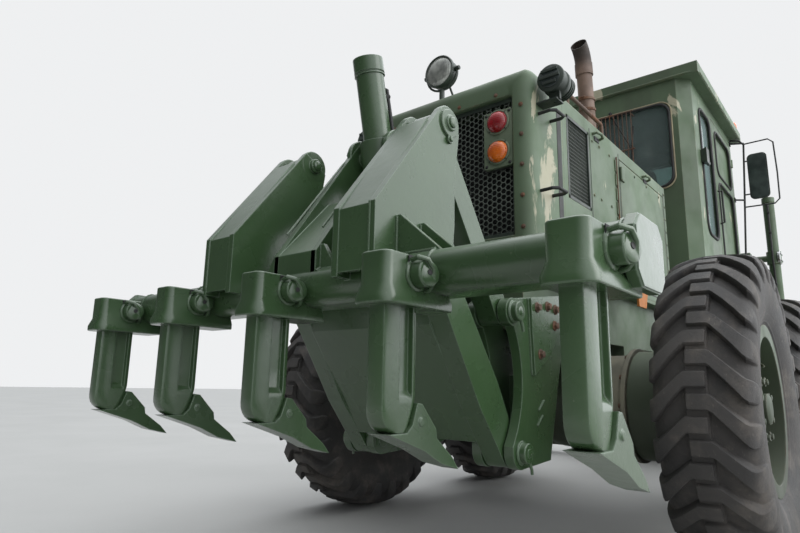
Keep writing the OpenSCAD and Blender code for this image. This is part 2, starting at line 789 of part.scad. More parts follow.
// Each mirror hangs on a post beside the cab's front corner
mirror_z = [2490, 2940];
module cab_fittings() {
    post = [cab_front + 30, cab_y + 75];
    color(dark) machine() {
        both_sides() {
            for (z = [1900, 2500, 3070]) {
                box([cab_front - 44, cab_y + gap, z - 20], [cab_front - 4, cab_y + 9, z + 20]);
                bar([cab_front - 24, cab_y + 8, z], [post.x, post.y, z], 18);
            }
            translate([post.x, post.y, 1890]) cylinder(d = 18, h = 1190);
            box([post.x - 15, post.y + 45, mirror_z[0]], [post.x + 15, post.y + 210, mirror_z[1]]);
            for (z = [mirror_z[0] + 60, mirror_z[1] - 60])
                bar([post.x, post.y, z], [post.x, post.y + 50, z], 14);
        }
        translate([cab_front + 50, -cab_y - 20, roof_z + gap]) cylinder(d = 110, h = 110);
    }
}

// Steps hang under the doors, clear of the turning blade's top edge
step_x = [cab_x + 790, cab_x + 1090];
step_z = [720, 990, 1260];
module cab_steps() {
    color(olive) machine() both_sides() {
        for (z = step_z) box([step_x[0], cab_y - 60, z], [step_x[1], cab_y + 150, z + 28]);
        for (x = [step_x[0], step_x[1] - 20])
            box([x, cab_y - 80, step_z[0]], [x + 20, cab_y - 60 + 1, floor_z - gap]);
    }
}

// The front axle, the leaning yokes and the steering knuckles
lean_p = [640, 600];
axle_arch = 700;
king_y = 780;
module front_axle() {
    color(olive) machine() {
        difference() {
            plate_yz(front_x - 90, 180) {
                polygon([[-lean_p.x + 60, 540], [-lean_p.x + 220, 540], [-150, axle_arch],
                    [150, axle_arch], [lean_p.x - 220, 540], [lean_p.x - 60, 540],
                    [lean_p.x - 60, 660], [300, 790], [-300, 790], [-lean_p.x + 60, 660]]);
            }
        }
        both_sides() {
            for (x = [front_x - 90, front_x + 50])
                plate_yz(x, 40) strap([lean_p.x - 90, 600], 60, lean_p, 60);
            pin_x(lean_p, 50, front_x - 100, front_x + 100);
        }
        box([front_x - 100, -130, 779], [front_x + 100, 130, 800 - gap]);
    }
}
module lean_yoke(s) {
    color(olive) machine() difference() {
        union() {
            plate_yz(front_x - 45, 90)
                strap([s * lean_p.x, lean_p.y], 50, [s * king_y, wheel_z], 40);
            translate([front_x, s * king_y, wheel_z - 110]) cylinder(d = 120, h = 220);
        }
        pin_x([s * lean_p.x, lean_p.y], 50 + 2 * gap, front_x - 60, front_x + 60);
        translate([front_x, s * king_y, wheel_z - 120]) cylinder(d = 60 + 2 * gap, h = 240);
    }
}
module lean_yoke_left() { lean_yoke(1); }
module lean_yoke_right() { lean_yoke(-1); }

module knuckle(s) {
    color(olive) machine() {
        translate([front_x, s * king_y, wheel_z - 170]) cylinder(d = 60, h = 340);
        for (z = [-170, 115]) translate([front_x, s * king_y, wheel_z + z]) {
            cylinder(d = 120, h = 55);
            box([-60, s > 0 ? 0 : -110, 0], [60, s > 0 ? 110 : 0, 55]);
        }
        box([front_x - 60, s > 0 ? king_y + 68 : -king_y - 110, wheel_z - 170],
            [front_x + 60, s > 0 ? king_y + 110 : -king_y - 68, wheel_z + 170]);
        pin_y([front_x, wheel_z], spindle_d, s > 0 ? king_y + 100 : -half_track - 10 + gap,
            s > 0 ? half_track + 10 - gap : -king_y - 100);
    }
}
module knuckle_left() { knuckle(1); }
module knuckle_right() { knuckle(-1); }

lift_d = 96;
lift_rod_d = 50;
lift_low = 480;
lift_up = 600;
module lift_barrel(s) {
    color(olive) machine() difference() {
        union() {
            translate([lift_x, s * lift_y, lift_z - lift_low]) cylinder(d = lift_d, h = lift_low + lift_up);
            translate([lift_x, s * lift_y, lift_z + lift_up - 50]) cylinder(d = lift_d + 14, h = 50);
            translate([lift_x, s * lift_y, lift_z - 60]) cylinder(d = lift_d + 28, h = 120);
        }
        translate([lift_x, s * lift_y, lift_z - lift_low - 1])
            cylinder(d = lift_rod_d + 2 * gap, h = lift_low + lift_up - 59);
        pin_y([lift_x, lift_z], trunnion_d + 2 * gap, s > 0 ? lift_y - 200 : -lift_y + 49,
            s > 0 ? lift_y - 49 : -lift_y + 200);
    }
}
module lift_barrel_left() { lift_barrel(1); }
module lift_barrel_right() { lift_barrel(-1); }

// Height of the rod's eye, whose face lies against the end of the drawbar's cross beam
eye_z = 1000;
eye_t = 60;
module lift_rod(s) {
    color("#8d9094") machine() {
        translate([lift_x, s * lift_y, eye_z]) cylinder(d = lift_rod_d, h = lift_z - eye_z + 100);
        translate([0, s * lift_y, 0]) pin_y([lift_x, eye_z], 110, -eye_t / 2, eye_t / 2);
    }
}
module lift_rod_left() { lift_rod(1); }
module lift_rod_right() { lift_rod(-1); }

// Drawbar, circle and blade
circle_x = 2960;
circle_z = 830;
circle_t = 80;
bar_z = circle_z + circle_t / 2 + gap;
bar_h = 120;
module drawbar() {
    color(olive) machine() {
        difference() {
            plate_xz(0, ball_w) {
                translate(ball_p) circle(60);
                polygon([ball_p + [-10, -55], ball_p + [-10, 55], [ball_p.x - 200, bar_z + bar_h],
                    [ball_p.x - 300, bar_z + bar_h], [ball_p.x - 300, bar_z]]);
            }
            pin_y(ball_p, pin_d + 2 * gap, -ball_w, ball_w);
        }
        both_sides() plate_xy(bar_z, bar_h)
            polygon([[ball_p.x - 240, 0], [ball_p.x - 240, 60], [circle_x + 400, 620],
                [circle_x - 250, 700], [circle_x - 250, 560], [circle_x + 430, 440],
                [ball_p.x - 520, 0]]);
        box([circle_x - 250, -600, bar_z], [circle_x - 110, 600, bar_z + bar_h]);
        box([lift_x - 70, -lift_y + eye_t / 2 + gap, bar_z], [lift_x + 70, lift_y - eye_t / 2 - gap, bar_z + bar_h]);
        both_sides() pin_y([lift_x, eye_z], 150, lift_y - eye_t / 2 - gap - 40, lift_y - eye_t / 2 - gap);
    }
}

// The arms under the circle carry the blade's tilting bracket on this pivot
tip_p = [circle_x - 180, 330];
arm_y = 560;
arm_t = 50;
module turning_circle() {
    color(olive) machine() {
        difference() {
            translate([circle_x, 0, circle_z - circle_t / 2]) cylinder(d = circle_d, h = circle_t, $fn = 96);
            translate([circle_x, 0, circle_z - circle_t]) cylinder(d = circle_d - 220, h = 2 * circle_t, $fn = 96);
        }
        both_sides() {
            plate_xz(arm_y, arm_t) {
                translate(tip_p) circle(60);
                polygon([[tip_p.x - 260, circle_z - circle_t / 2 + 1], [tip_p.x + 20, circle_z - circle_t / 2 + 1],
                    tip_p + [35, 260], tip_p + [35, 90], tip_p + [60, 0], tip_p + [-60, 0], tip_p + [-110, 220]]);
            }
            pin_y(tip_p, pin_d, arm_y - 110, arm_y + 40);
        }
    }
}

// The blade's back at mid height, the radius of its curve and the two rails behind it
blade_back = circle_x - 52;
blade_r = 420;
blade_mid = blade_gap + blade_h / 2;
rail_s = 50;
rail_step = 130;
module blade_carrier() {
    shoe = blade_back - rail_s - gap;
    color(olive) machine() {
        both_sides() difference() {
            plate_xz(arm_y - 70, 50) {
                translate(tip_p) circle(55);
                polygon([tip_p + [-55, 0], tip_p + [-30, 330], [shoe, tip_p.y + 330], [shoe, tip_p.y - 70],
                    tip_p + [0, -54]]);
            }
            pin_y(tip_p, pin_d + 2 * gap, arm_y - 130, arm_y);
        }
        for (s = [-1, 1]) box([shoe - 40, -arm_y + 50, blade_mid + s * rail_step - 45],
            [shoe, arm_y - 50, blade_mid + s * rail_step + 45]);
    }
}
module moldboard() {
    color(olive) machine() {
        translate([blade_back + blade_r, blade_l / 2, blade_mid]) rotate([90, 0, 0])
            linear_extrude(blade_l) difference() {
                intersection() {
                    circle(blade_r);
                    translate([-blade_r, -blade_h / 2]) square([blade_r * 0.75, blade_h]);
                }
                circle(blade_r - blade_t);
            }
        for (s = [-1, 1]) box([blade_back - rail_s, -1250, blade_mid + s * rail_step - 30],
            [blade_back + 30, 1250, blade_mid + s * rail_step + 30]);
    }
}

rear_frame();
engine_block();
radiator();
hood();
rear_cap();
grilles();
hood_door_left();
hood_door_right();
exhaust();
rear_axle();
tandem_cases();
rear_lamps();
ripper_mount();
ripper_lower_link();
ripper_upper_links();
ripper_beam();
ripper_shanks();
ripper_barrel();
ripper_rod();
tyre_rear_left();
rim_rear_left();
tyre_rear_right();
rim_rear_right();
tyre_mid_left();
rim_mid_left();
tyre_mid_right();
rim_mid_right();
tyre_front_left();
rim_front_left();
tyre_front_right();
rim_front_right();
front_frame();
cab_shell();
cab_roof();
cab_glass();
cab_door_left();
cab_door_right();
seat();
controls();
cab_fittings();
cab_steps();
lift_barrel_left();
lift_rod_left();
lift_barrel_right();
lift_rod_right();
front_axle();
lean_yoke_left();
lean_yoke_right();
knuckle_left();
knuckle_right();
drawbar();
turning_circle();
blade_carrier();
moldboard();
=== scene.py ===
# Looks of the motor grader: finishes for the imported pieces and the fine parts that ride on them.
import json
import random
from math import copysign, cos, exp, pi, radians, sin, sqrt

import bmesh
import bpy
from mathutils import Matrix, Vector


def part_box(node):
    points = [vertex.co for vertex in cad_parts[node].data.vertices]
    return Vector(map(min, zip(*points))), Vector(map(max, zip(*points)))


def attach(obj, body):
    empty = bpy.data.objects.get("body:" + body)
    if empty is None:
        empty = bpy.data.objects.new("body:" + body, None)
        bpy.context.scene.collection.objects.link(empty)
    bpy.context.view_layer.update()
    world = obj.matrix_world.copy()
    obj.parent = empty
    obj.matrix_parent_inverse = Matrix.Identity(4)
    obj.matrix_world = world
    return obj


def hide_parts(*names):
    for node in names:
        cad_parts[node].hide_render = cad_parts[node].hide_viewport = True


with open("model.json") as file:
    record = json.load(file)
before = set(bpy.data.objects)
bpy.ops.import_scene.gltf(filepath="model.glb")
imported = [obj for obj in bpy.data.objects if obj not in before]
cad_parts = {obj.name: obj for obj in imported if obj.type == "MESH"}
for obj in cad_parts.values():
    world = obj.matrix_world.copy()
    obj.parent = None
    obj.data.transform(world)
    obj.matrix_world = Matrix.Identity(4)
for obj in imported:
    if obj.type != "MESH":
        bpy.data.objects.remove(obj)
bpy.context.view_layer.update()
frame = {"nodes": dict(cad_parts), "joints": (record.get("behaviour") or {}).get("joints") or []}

# Machine axes: X forward from the middle of the tandem, Y left, Z up, all in metres
AXLE_LO, AXLE_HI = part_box("rear_axle")
MIDDLE = (AXLE_LO.x + AXLE_HI.x) / 2
AHEAD, BACK, UP = (1, 0, 0), (-1, 0, 0), (0, 0, 1)
OUT = {"right": -1, "left": 1}


def at(x, y, z):
    """A point of the machine's own axes in the row frame."""
    return Vector((x + MIDDLE, y, z))


def box_of(node):
    """A node's box in the machine's own axes."""
    lo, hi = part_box(node)
    shift = Vector((MIDDLE, 0, 0))
    return lo - shift, hi - shift


def middle_of(node):
    lo, hi = box_of(node)
    return (lo + hi) / 2


def pivot(joint):
    """A joint's place across the machine, as X and Z."""
    place = next(j for j in frame["joints"] if j["name"] == joint)["pos_m"]
    return place[0] - MIDDLE, place[2]


def linear(r, g, b, a=1.0):
    """A colour given as sRGB values from 0 to 255, for a shader's socket."""
    def one(v):
        v /= 255
        return v / 12.92 if v <= 0.04045 else ((v + 0.055) / 1.055) ** 2.4
    return one(r), one(g), one(b), a


def around(count, start=0.0):
    """Cosine and sine at evenly spaced angles round a circle."""
    angles = [start + 2 * pi * k / count for k in range(count)]
    return [(cos(a), sin(a)) for a in angles]


# The same from 0 to 90 degrees, for round corners
QUARTER = [(cos(radians(a)), sin(radians(a))) for a in range(0, 91, 15)]


# Shader nodes

class Tree:
    """The node tree of a material or a world, with short calls that add and link its nodes."""

    def __init__(self, name, owners="materials"):
        self.owner = getattr(bpy.data, owners).new(name)
        self.owner.use_nodes = True
        self.nodes = self.owner.node_tree.nodes
        self.links = self.owner.node_tree.links
        self.nodes.clear()
        self.coords = self.add("TexCoord").outputs["Object"]
        self.geometry = self.add("NewGeometry")
        self.axes = self.add("SeparateXYZ", Vector=self.coords)

    def put(self, socket, value):
        if isinstance(value, bpy.types.NodeSocket):
            self.links.new(value, socket)
        elif value is not None:
            socket.default_value = value

    def add(self, kind, props=None, **inputs):
        node = self.nodes.new("ShaderNode" + kind)
        for key, value in (props or {}).items():
            setattr(node, key, value)
        for key, value in inputs.items():
            self.put(node.inputs[key.replace("_", " ")], value)
        return node

    def math(self, operation, a, b=0.0, clamp=False):
        node = self.add("Math", {"operation": operation, "use_clamp": clamp})
        self.put(node.inputs[0], a)
        self.put(node.inputs[1], b)
        return node.outputs[0]

    def mix(self, share, a, b):
        """Mixes two colours, each a socket or sRGB values from 0 to 255."""
        node = self.add("Mix", {"data_type": "RGBA"})
        for index, value in ((0, share), (6, a), (7, b)):
            self.put(node.inputs[index], linear(*value) if isinstance(value, tuple) else value)
        return node.outputs[2]

    def mottle(self, dark, light, *noise):
        """Two colours in soft patches."""
        return self.mix(self.span(self.noise(*noise), 0.3, 0.7), dark, light)

    def stretch(self, scale):
        return self.add("Mapping", Vector=self.coords, Scale=scale).outputs[0]

    def noise(self, scale, detail=4.0, rough=0.55, stretch=None, distortion=0.0):
        vector = self.stretch(stretch) if stretch else self.coords
        return self.add("TexNoise", Vector=vector, Scale=scale, Detail=detail, Roughness=rough,
                        Distortion=distortion).outputs["Fac"]

    def span(self, value, low, high, out_low=0.0, out_high=1.0):
        """Maps low..high to out_low..out_high, smoothly and clamped."""
        node = self.add("MapRange", {"interpolation_type": "SMOOTHSTEP"}, Value=value)
        for index, number in ((1, low), (2, high), (3, out_low), (4, out_high)):
            node.inputs[index].default_value = number
        return node.outputs[0]

    def within(self, axis, low, high, soft=0.02):
        """1 where a machine axis lies between two places, with soft ends."""
        shift = MIDDLE if axis == "X" else 0.0
        value = self.axes.outputs[axis]
        rise = self.span(value, low + shift - soft, low + shift)
        fall = self.span(value, high + shift, high + shift + soft, 1.0, 0.0)
        return self.both(rise, fall)

    def both(self, a, b):
        return self.math("MULTIPLY", a, b)

    def upward(self, low=0.3, high=0.95):
        normal = self.add("SeparateXYZ", Vector=self.geometry.outputs["Normal"]).outputs["Z"]
        return self.span(normal, low, high)

    def rounded(self, radius):
        return self.add("Bevel", {"samples": 4}, Radius=radius).outputs[0]

    def edges(self, rounded, low=0.02, high=0.25):
        """Strong along sharp edges, from how far the rounded normal leaves the flat one."""
        node = self.add("VectorMath", {"operation": "DOT_PRODUCT"})
        self.put(node.inputs[0], rounded)
        self.put(node.inputs[1], self.geometry.outputs["Normal"])
        return self.span(self.math("SUBTRACT", 1.0, node.outputs["Value"]), low, high)

    def bump(self, height, strength, distance, normal=None):
        return self.add("Bump", Height=height, Strength=strength, Distance=distance,
                        Normal=normal).outputs[0]

    def blend(self, share, a, b):
        """Mixes two shaders."""
        node = self.add("MixShader")
        for index, value in enumerate((share, a.outputs[0], b.outputs[0])):
            self.put(node.inputs[index], value)
        return node

    def close(self, shader, kind="OutputMaterial"):
        self.links.new(shader.outputs[0], self.add(kind).inputs[0])
        return self.owner

    def finish(self, **inputs):
        return self.close(self.add("BsdfPrincipled", None, **inputs))


def fresh_paint():
    """New semi-gloss green enamel over rough plates and castings, paler on top from dust and painted sky
    sheen, with a painted highlight along its edges.
    """
    t = Tree("fresh_paint")
    base = t.mottle((48, 70, 43), (58, 82, 52), 1.6, 5.0)
    # Dust and painted sky sheen: upward faces are paled towards (132, 146, 128) and roughened a little
    pale_share = t.both(t.upward(0.35, 1.0), t.span(t.noise(7.0, 6.0), 0.3, 0.7, 0.5, 1.0))
    base = t.mix(t.both(pale_share, 0.3), base, (132, 146, 128))
    speck = t.span(t.noise(90.0, 2.0), 0.74, 0.8)
    base = t.mix(t.both(speck, 0.3), base, (128, 136, 116))
    rounded = t.rounded(0.006)
    # Painted highlight: sharp edges are paled towards (150, 170, 150)
    base = t.mix(t.both(t.edges(rounded), 0.5), base, (150, 170, 150))
    peel = t.bump(t.noise(260.0, 2.0), 0.12, 0.002, rounded)
    cast = t.bump(t.noise(28.0, 5.0), 0.18, 0.006, peel)
    rough = t.math("ADD", t.span(t.noise(5.0, 4.0), 0.3, 0.7, 0.24, 0.34), t.both(pale_share, 0.15))
    return t.finish(Base_Color=base, Roughness=rough, Normal=cast, Coat_Weight=0.5, Coat_Roughness=0.22)


# Where the old paint is worn through, beside the grille, and where it has rusted away, on the handrails
WORN_X, WORN_Y, WORN_Z = (-1.42, -1.1), (-0.4, 0.4), (1.3, 2.1)
RUSTY_X, RUSTY_Z = (-1.0, -0.4), (2.115, 2.21)
# The colour darkens towards the bottom, fading out between these heights, and soot thickens between those of
# the exhaust
LOW_DARK_Z, SOOT_Z = (0.5, 1.4), (2.98, 3.12)


def old_paint():
    """Sun-faded paint, paler on top from fading and painted sky sheen and with painted shade on faces turned
    back, worn through to sand paint in streaks and rusting at its edges.
    """
    t = Tree("old_paint")
    base = t.mottle((74, 92, 68), (92, 112, 86), 1.1, 5.0)
    # Sun fading and painted sky sheen: upward faces are paled towards (134, 144, 124)
    faded_and_sky_sheen = t.both(t.upward(0.4, 1.0), 0.45)
    base = t.mix(faded_and_sky_sheen, base, (134, 144, 124))
    # Painted shade: faces turned back, away from the light, are darkened towards (62, 78, 54)
    facing_x = t.add("SeparateXYZ", Vector=t.geometry.outputs["Normal"]).outputs["X"]
    base = t.mix(t.span(facing_x, -0.9, -0.4, 0.55, 0.0), base, (62, 78, 54))
    corner = t.both(t.both(t.within("X", *WORN_X), t.within("Z", *WORN_Z)),
                    t.math("SUBTRACT", 1.0, t.within("Y", *WORN_Y, 0.06)))
    streaks = t.math("ADD", t.noise(3.4, 7.0, 0.62, (1.0, 1.0, 0.38), 0.6), t.both(corner, 0.1))
    sand = t.span(streaks, 0.625, 0.65)
    base = t.mix(t.both(sand, 0.9), base, (170, 165, 142))
    rounded = t.rounded(0.008)
    edge = t.edges(rounded)
    worn = t.both(edge, t.span(t.noise(14.0, 6.0, 0.7), 0.42, 0.6))
    base = t.mix(t.both(worn, 0.75), base, (160, 148, 116))
    rust = t.math("MAXIMUM", t.span(t.noise(9.0, 8.0, 0.7, (1.0, 1.0, 0.35)), 0.7, 0.74),
                  t.both(edge, t.span(t.noise(22.0, 5.0), 0.58, 0.66)))
    rails = t.both(t.within("Z", *RUSTY_Z, 0.004), t.within("X", *RUSTY_X))
    rust = t.math("MAXIMUM", rust, rails)
    base = t.mix(t.both(rust, 0.8), base, t.mix(t.span(t.noise(30.0), 0.35, 0.65),
                                                             (108, 62, 44), (142, 92, 70)))
    # Dark grime in patches, and the colour darker towards the bottom, fading out between the heights given
    # above
    grime = t.span(t.noise(2.3, 6.0, 0.6, (1.0, 1.0, 0.5)), 0.46, 0.75, 0.0, 0.5)
    low = t.span(t.axes.outputs["Z"], *LOW_DARK_Z, 0.72, 0.0)
    base = t.mix(t.math("MAXIMUM", grime, low), base, (52, 54, 44))
    fine = t.bump(t.noise(180.0, 3.0), 0.1, 0.002, rounded)
    chips = t.bump(sand, -0.35, 0.0015, fine)
    rough = t.span(t.math("ADD", t.noise(6.0), t.both(rust, 0.5)), 0.3, 1.0, 0.46, 0.85)
    return t.finish(Base_Color=base, Roughness=rough, Normal=chips)


def tyre_rubber():
    t = Tree("tyre")
    tone = t.noise(2.6, 6.0)
    base = t.mix(t.span(tone, 0.3, 0.72), (44, 43, 43), (70, 67, 65))
    pale_share = t.span(t.noise(8.0, 8.0, 0.65), 0.45, 0.75, 0.0, 0.5)
    base = t.mix(pale_share, base, (112, 104, 96))
    scuffed = t.span(t.noise(34.0, 8.0, 0.75, (1.0, 3.0, 1.0)), 0.6, 0.7, 0.0, 0.35)
    base = t.mix(scuffed, base, (134, 126, 116))
    rounded = t.rounded(0.004)
    grain = t.bump(t.noise(140.0, 5.0), 0.3, 0.003, rounded)
    cuts = t.bump(t.span(t.noise(24.0, 8.0, 0.8), 0.3, 0.7), 0.25, 0.006, grain)
    return t.finish(Base_Color=base, Roughness=t.span(tone, 0.3, 0.7, 0.6, 0.8), Normal=cuts)


def bare_steel(name, dark, light, roughness, metallic, rust_share):
    t = Tree(name)
    base = t.mottle(dark, light, 3.0, 6.0)
    rust = t.span(t.noise(12.0, 8.0, 0.7), 0.75 - rust_share, 0.85 - rust_share)
    base = t.mix(rust, base, t.mottle((86, 56, 42), (120, 86, 64), 40.0))
    rounded = t.rounded(0.004)
    pits = t.bump(t.noise(90.0, 6.0), 0.35, 0.002, rounded)
    rough = t.math("ADD", roughness, t.both(rust, 0.3), True)
    metal = t.both(t.math("SUBTRACT", 1.0, rust), metallic)
    return t.finish(Base_Color=base, Roughness=rough, Metallic=metal, Normal=pits)


def stack_rust():
    """Heat-browned exhaust pipe with pale runs down its length and a sooty mouth."""
    t = Tree("rusty_steel")
    base = t.mottle((88, 70, 60), (124, 102, 88), 5.0, 6.0, 0.6)
    runs = t.span(t.noise(16.0, 6.0, 0.6, (1.0, 1.0, 0.12)), 0.52, 0.66, 0.0, 0.6)
    base = t.mix(runs, base, (176, 158, 142))
    soot = t.span(t.axes.outputs["Z"], *SOOT_Z, 0.0, 0.85)
    base = t.mix(soot, base, (30, 27, 25))
    pits = t.bump(t.noise(80.0, 6.0), 0.4, 0.002, t.rounded(0.004))
    return t.finish(Base_Color=base, Roughness=t.span(t.noise(9.0), 0.3, 0.7, 0.5, 0.75), Normal=pits)


def rod_chrome():
    t = Tree("rod_chrome")
    base = t.mix(t.span(t.noise(9.0, 4.0), 0.35, 0.7), (190, 192, 194), (150, 150, 146))
    scratches = t.noise(40.0, 3.0, 0.6, (6.0, 6.0, 0.4))
    return t.finish(Base_Color=base, Metallic=1.0, Roughness=t.span(scratches, 0.3, 0.8, 0.12, 0.34),
                    Normal=t.bump(scratches, 0.05, 0.001))


def window_glass():
    t = Tree("glass")
    film = t.span(t.noise(4.0, 6.0), 0.4, 0.8, 0.0, 0.12)
    # Painted reflection: the pane's pale base colour stands for reflected sky, shown at least 16 % and more
    # at grazing angles; the dirt film adds to it
    pane_with_sky = t.add("BsdfPrincipled", None, Base_Color=linear(168, 186, 184), Roughness=0.04,
                 Specular_IOR_Level=0.5, Normal=t.bump(t.noise(2.0), 0.03, 0.01))
    clear = t.add("BsdfTransparent", None, Color=linear(190, 204, 202))
    share = t.math("ADD", film, t.span(t.add("Fresnel", IOR=1.45).outputs[0], 0.0, 1.0, 0.16, 0.9), True)
    return t.close(t.blend(share, clear, pane_with_sky))


def seat_cloth():
    t = Tree("seat")
    base = t.mottle((26, 27, 28), (48, 47, 45), 5.0, 6.0)
    weave = t.bump(t.noise(420.0, 2.0), 0.5, 0.001, t.rounded(0.02))
    return t.finish(Base_Color=base, Roughness=0.82, Normal=weave)


def lens(name, dark, light, ribs_across, roughness=0.14, metallic=0.0):
    """A moulded lamp lens with fine ribs."""
    t = Tree(name)
    wave = t.add("TexWave", {"bands_direction": ribs_across}, Vector=t.coords, Scale=34.0).outputs["Fac"]
    base = t.mottle(dark, light, 14.0)
    base = t.mix(t.both(wave, 0.25), base, dark)
    return t.finish(Base_Color=base, Roughness=roughness, Metallic=metallic, Coat_Weight=0.6,
                    Normal=t.bump(wave, 0.25, 0.002))


def plastic(name, dark, light, roughness):
    t = Tree(name)
    base = t.mottle(dark, light, 8.0, 5.0)
    grain = t.bump(t.noise(300.0, 3.0), 0.2, 0.001, t.rounded(0.003))
    return t.finish(Base_Color=base, Roughness=t.span(t.noise(12.0), 0.3, 0.7, roughness - 0.06,
                                                      roughness + 0.08), Normal=grain)


MATERIALS = {
    "fresh_paint": fresh_paint(),
    "old_paint": old_paint(),
    "tyre": tyre_rubber(),
    "black_steel": bare_steel("black_steel", (24, 25, 25), (44, 45, 44), 0.5, 0.2, 0.06),
    "rusty_steel": stack_rust(),
    "rod_chrome": rod_chrome(),
    "glass": window_glass(),
    "seat": seat_cloth(),
    "lamp": lens("lamp", (118, 10, 18), (170, 20, 30), "Z"),
    "amber_lens": lens("amber_lens", (176, 74, 10), (222, 112, 22), "Z"),
    "clear_lens": lens("clear_lens", (120, 122, 118), (196, 198, 190), "Y", 0.1, 0.5),
    "mesh_steel": bare_steel("mesh_steel", (56, 62, 56), (92, 98, 90), 0.55, 0.1, 0.07),
    "rusty_bolt": bare_steel("rusty_bolt", (78, 60, 48), (108, 84, 68), 0.65, 0.2, 0.25),
    "rubber_trim": plastic("rubber_trim", (24, 24, 24), (40, 40, 39), 0.6),
    "tan_trim": plastic("tan_trim", (128, 118, 96), (160, 150, 124), 0.7),
    "dark_paint": plastic("dark_paint", (30, 38, 32), (50, 60, 52), 0.45),
    "lamp_plate": plastic("lamp_plate", (84, 98, 78), (108, 118, 98), 0.5),
    "orange_paint": plastic("orange_paint", (150, 88, 34), (180, 110, 46), 0.6),
    "mirror_glass": plastic("mirror_glass", (40, 47, 46), (62, 70, 68), 0.12),
    "drum_paint": plastic("drum_paint", (96, 94, 82), (124, 120, 104), 0.7),
}


def dress_frame():
    """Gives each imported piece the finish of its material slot."""
    for node in frame["nodes"].values():
        for slot in node.material_slots:
            name = slot.material.name if slot.material else ""
            slot.material = MATERIALS[next((m for m in MATERIALS if name.startswith(m)), "old_paint")]


# Meshes, in the machine's own axes

def piece(name, verts, faces, body, material, replaces=None, sharp=35.0):
    """A mesh that rides on a body and takes one finish."""
    mesh = bpy.data.meshes.new(name)
    mesh.from_pydata([(v[0] + MIDDLE, v[1], v[2]) for v in verts], [], faces)
    mesh.validate()
    shaped = bmesh.new()
    shaped.from_mesh(mesh)
    bmesh.ops.recalc_face_normals(shaped, faces=shaped.faces)
    shaped.to_mesh(mesh)
    shaped.free()
    mesh.shade_smooth()
    mesh.set_sharp_from_angle(angle=radians(sharp))
    mesh.materials.append(MATERIALS[material])
    obj = bpy.data.objects.new(name, mesh)
    bpy.context.scene.collection.objects.link(obj)
    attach(obj, body)
    if replaces:
        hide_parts(replaces)
    return obj


def facing(place, direction):
    """A frame at a place whose Z axis points along a direction."""
    turn = Vector(direction).normalized().to_track_quat("Z", "Y").to_matrix().to_4x4()
    return Matrix.Translation(Vector(place)) @ turn


def round_rect(w, h, r, steps=5):
    """The outline of a rectangle with round corners about the origin."""
    points = []
    for quarter, (sx, sy) in enumerate(((1, 1), (-1, 1), (-1, -1), (1, -1))):
        for k in range(steps + 1):
            a = radians(90 * (quarter + k / steps))
            points.append((sx * (w / 2 - r) + r * cos(a), sy * (h / 2 - r) + r * sin(a)))
    return points


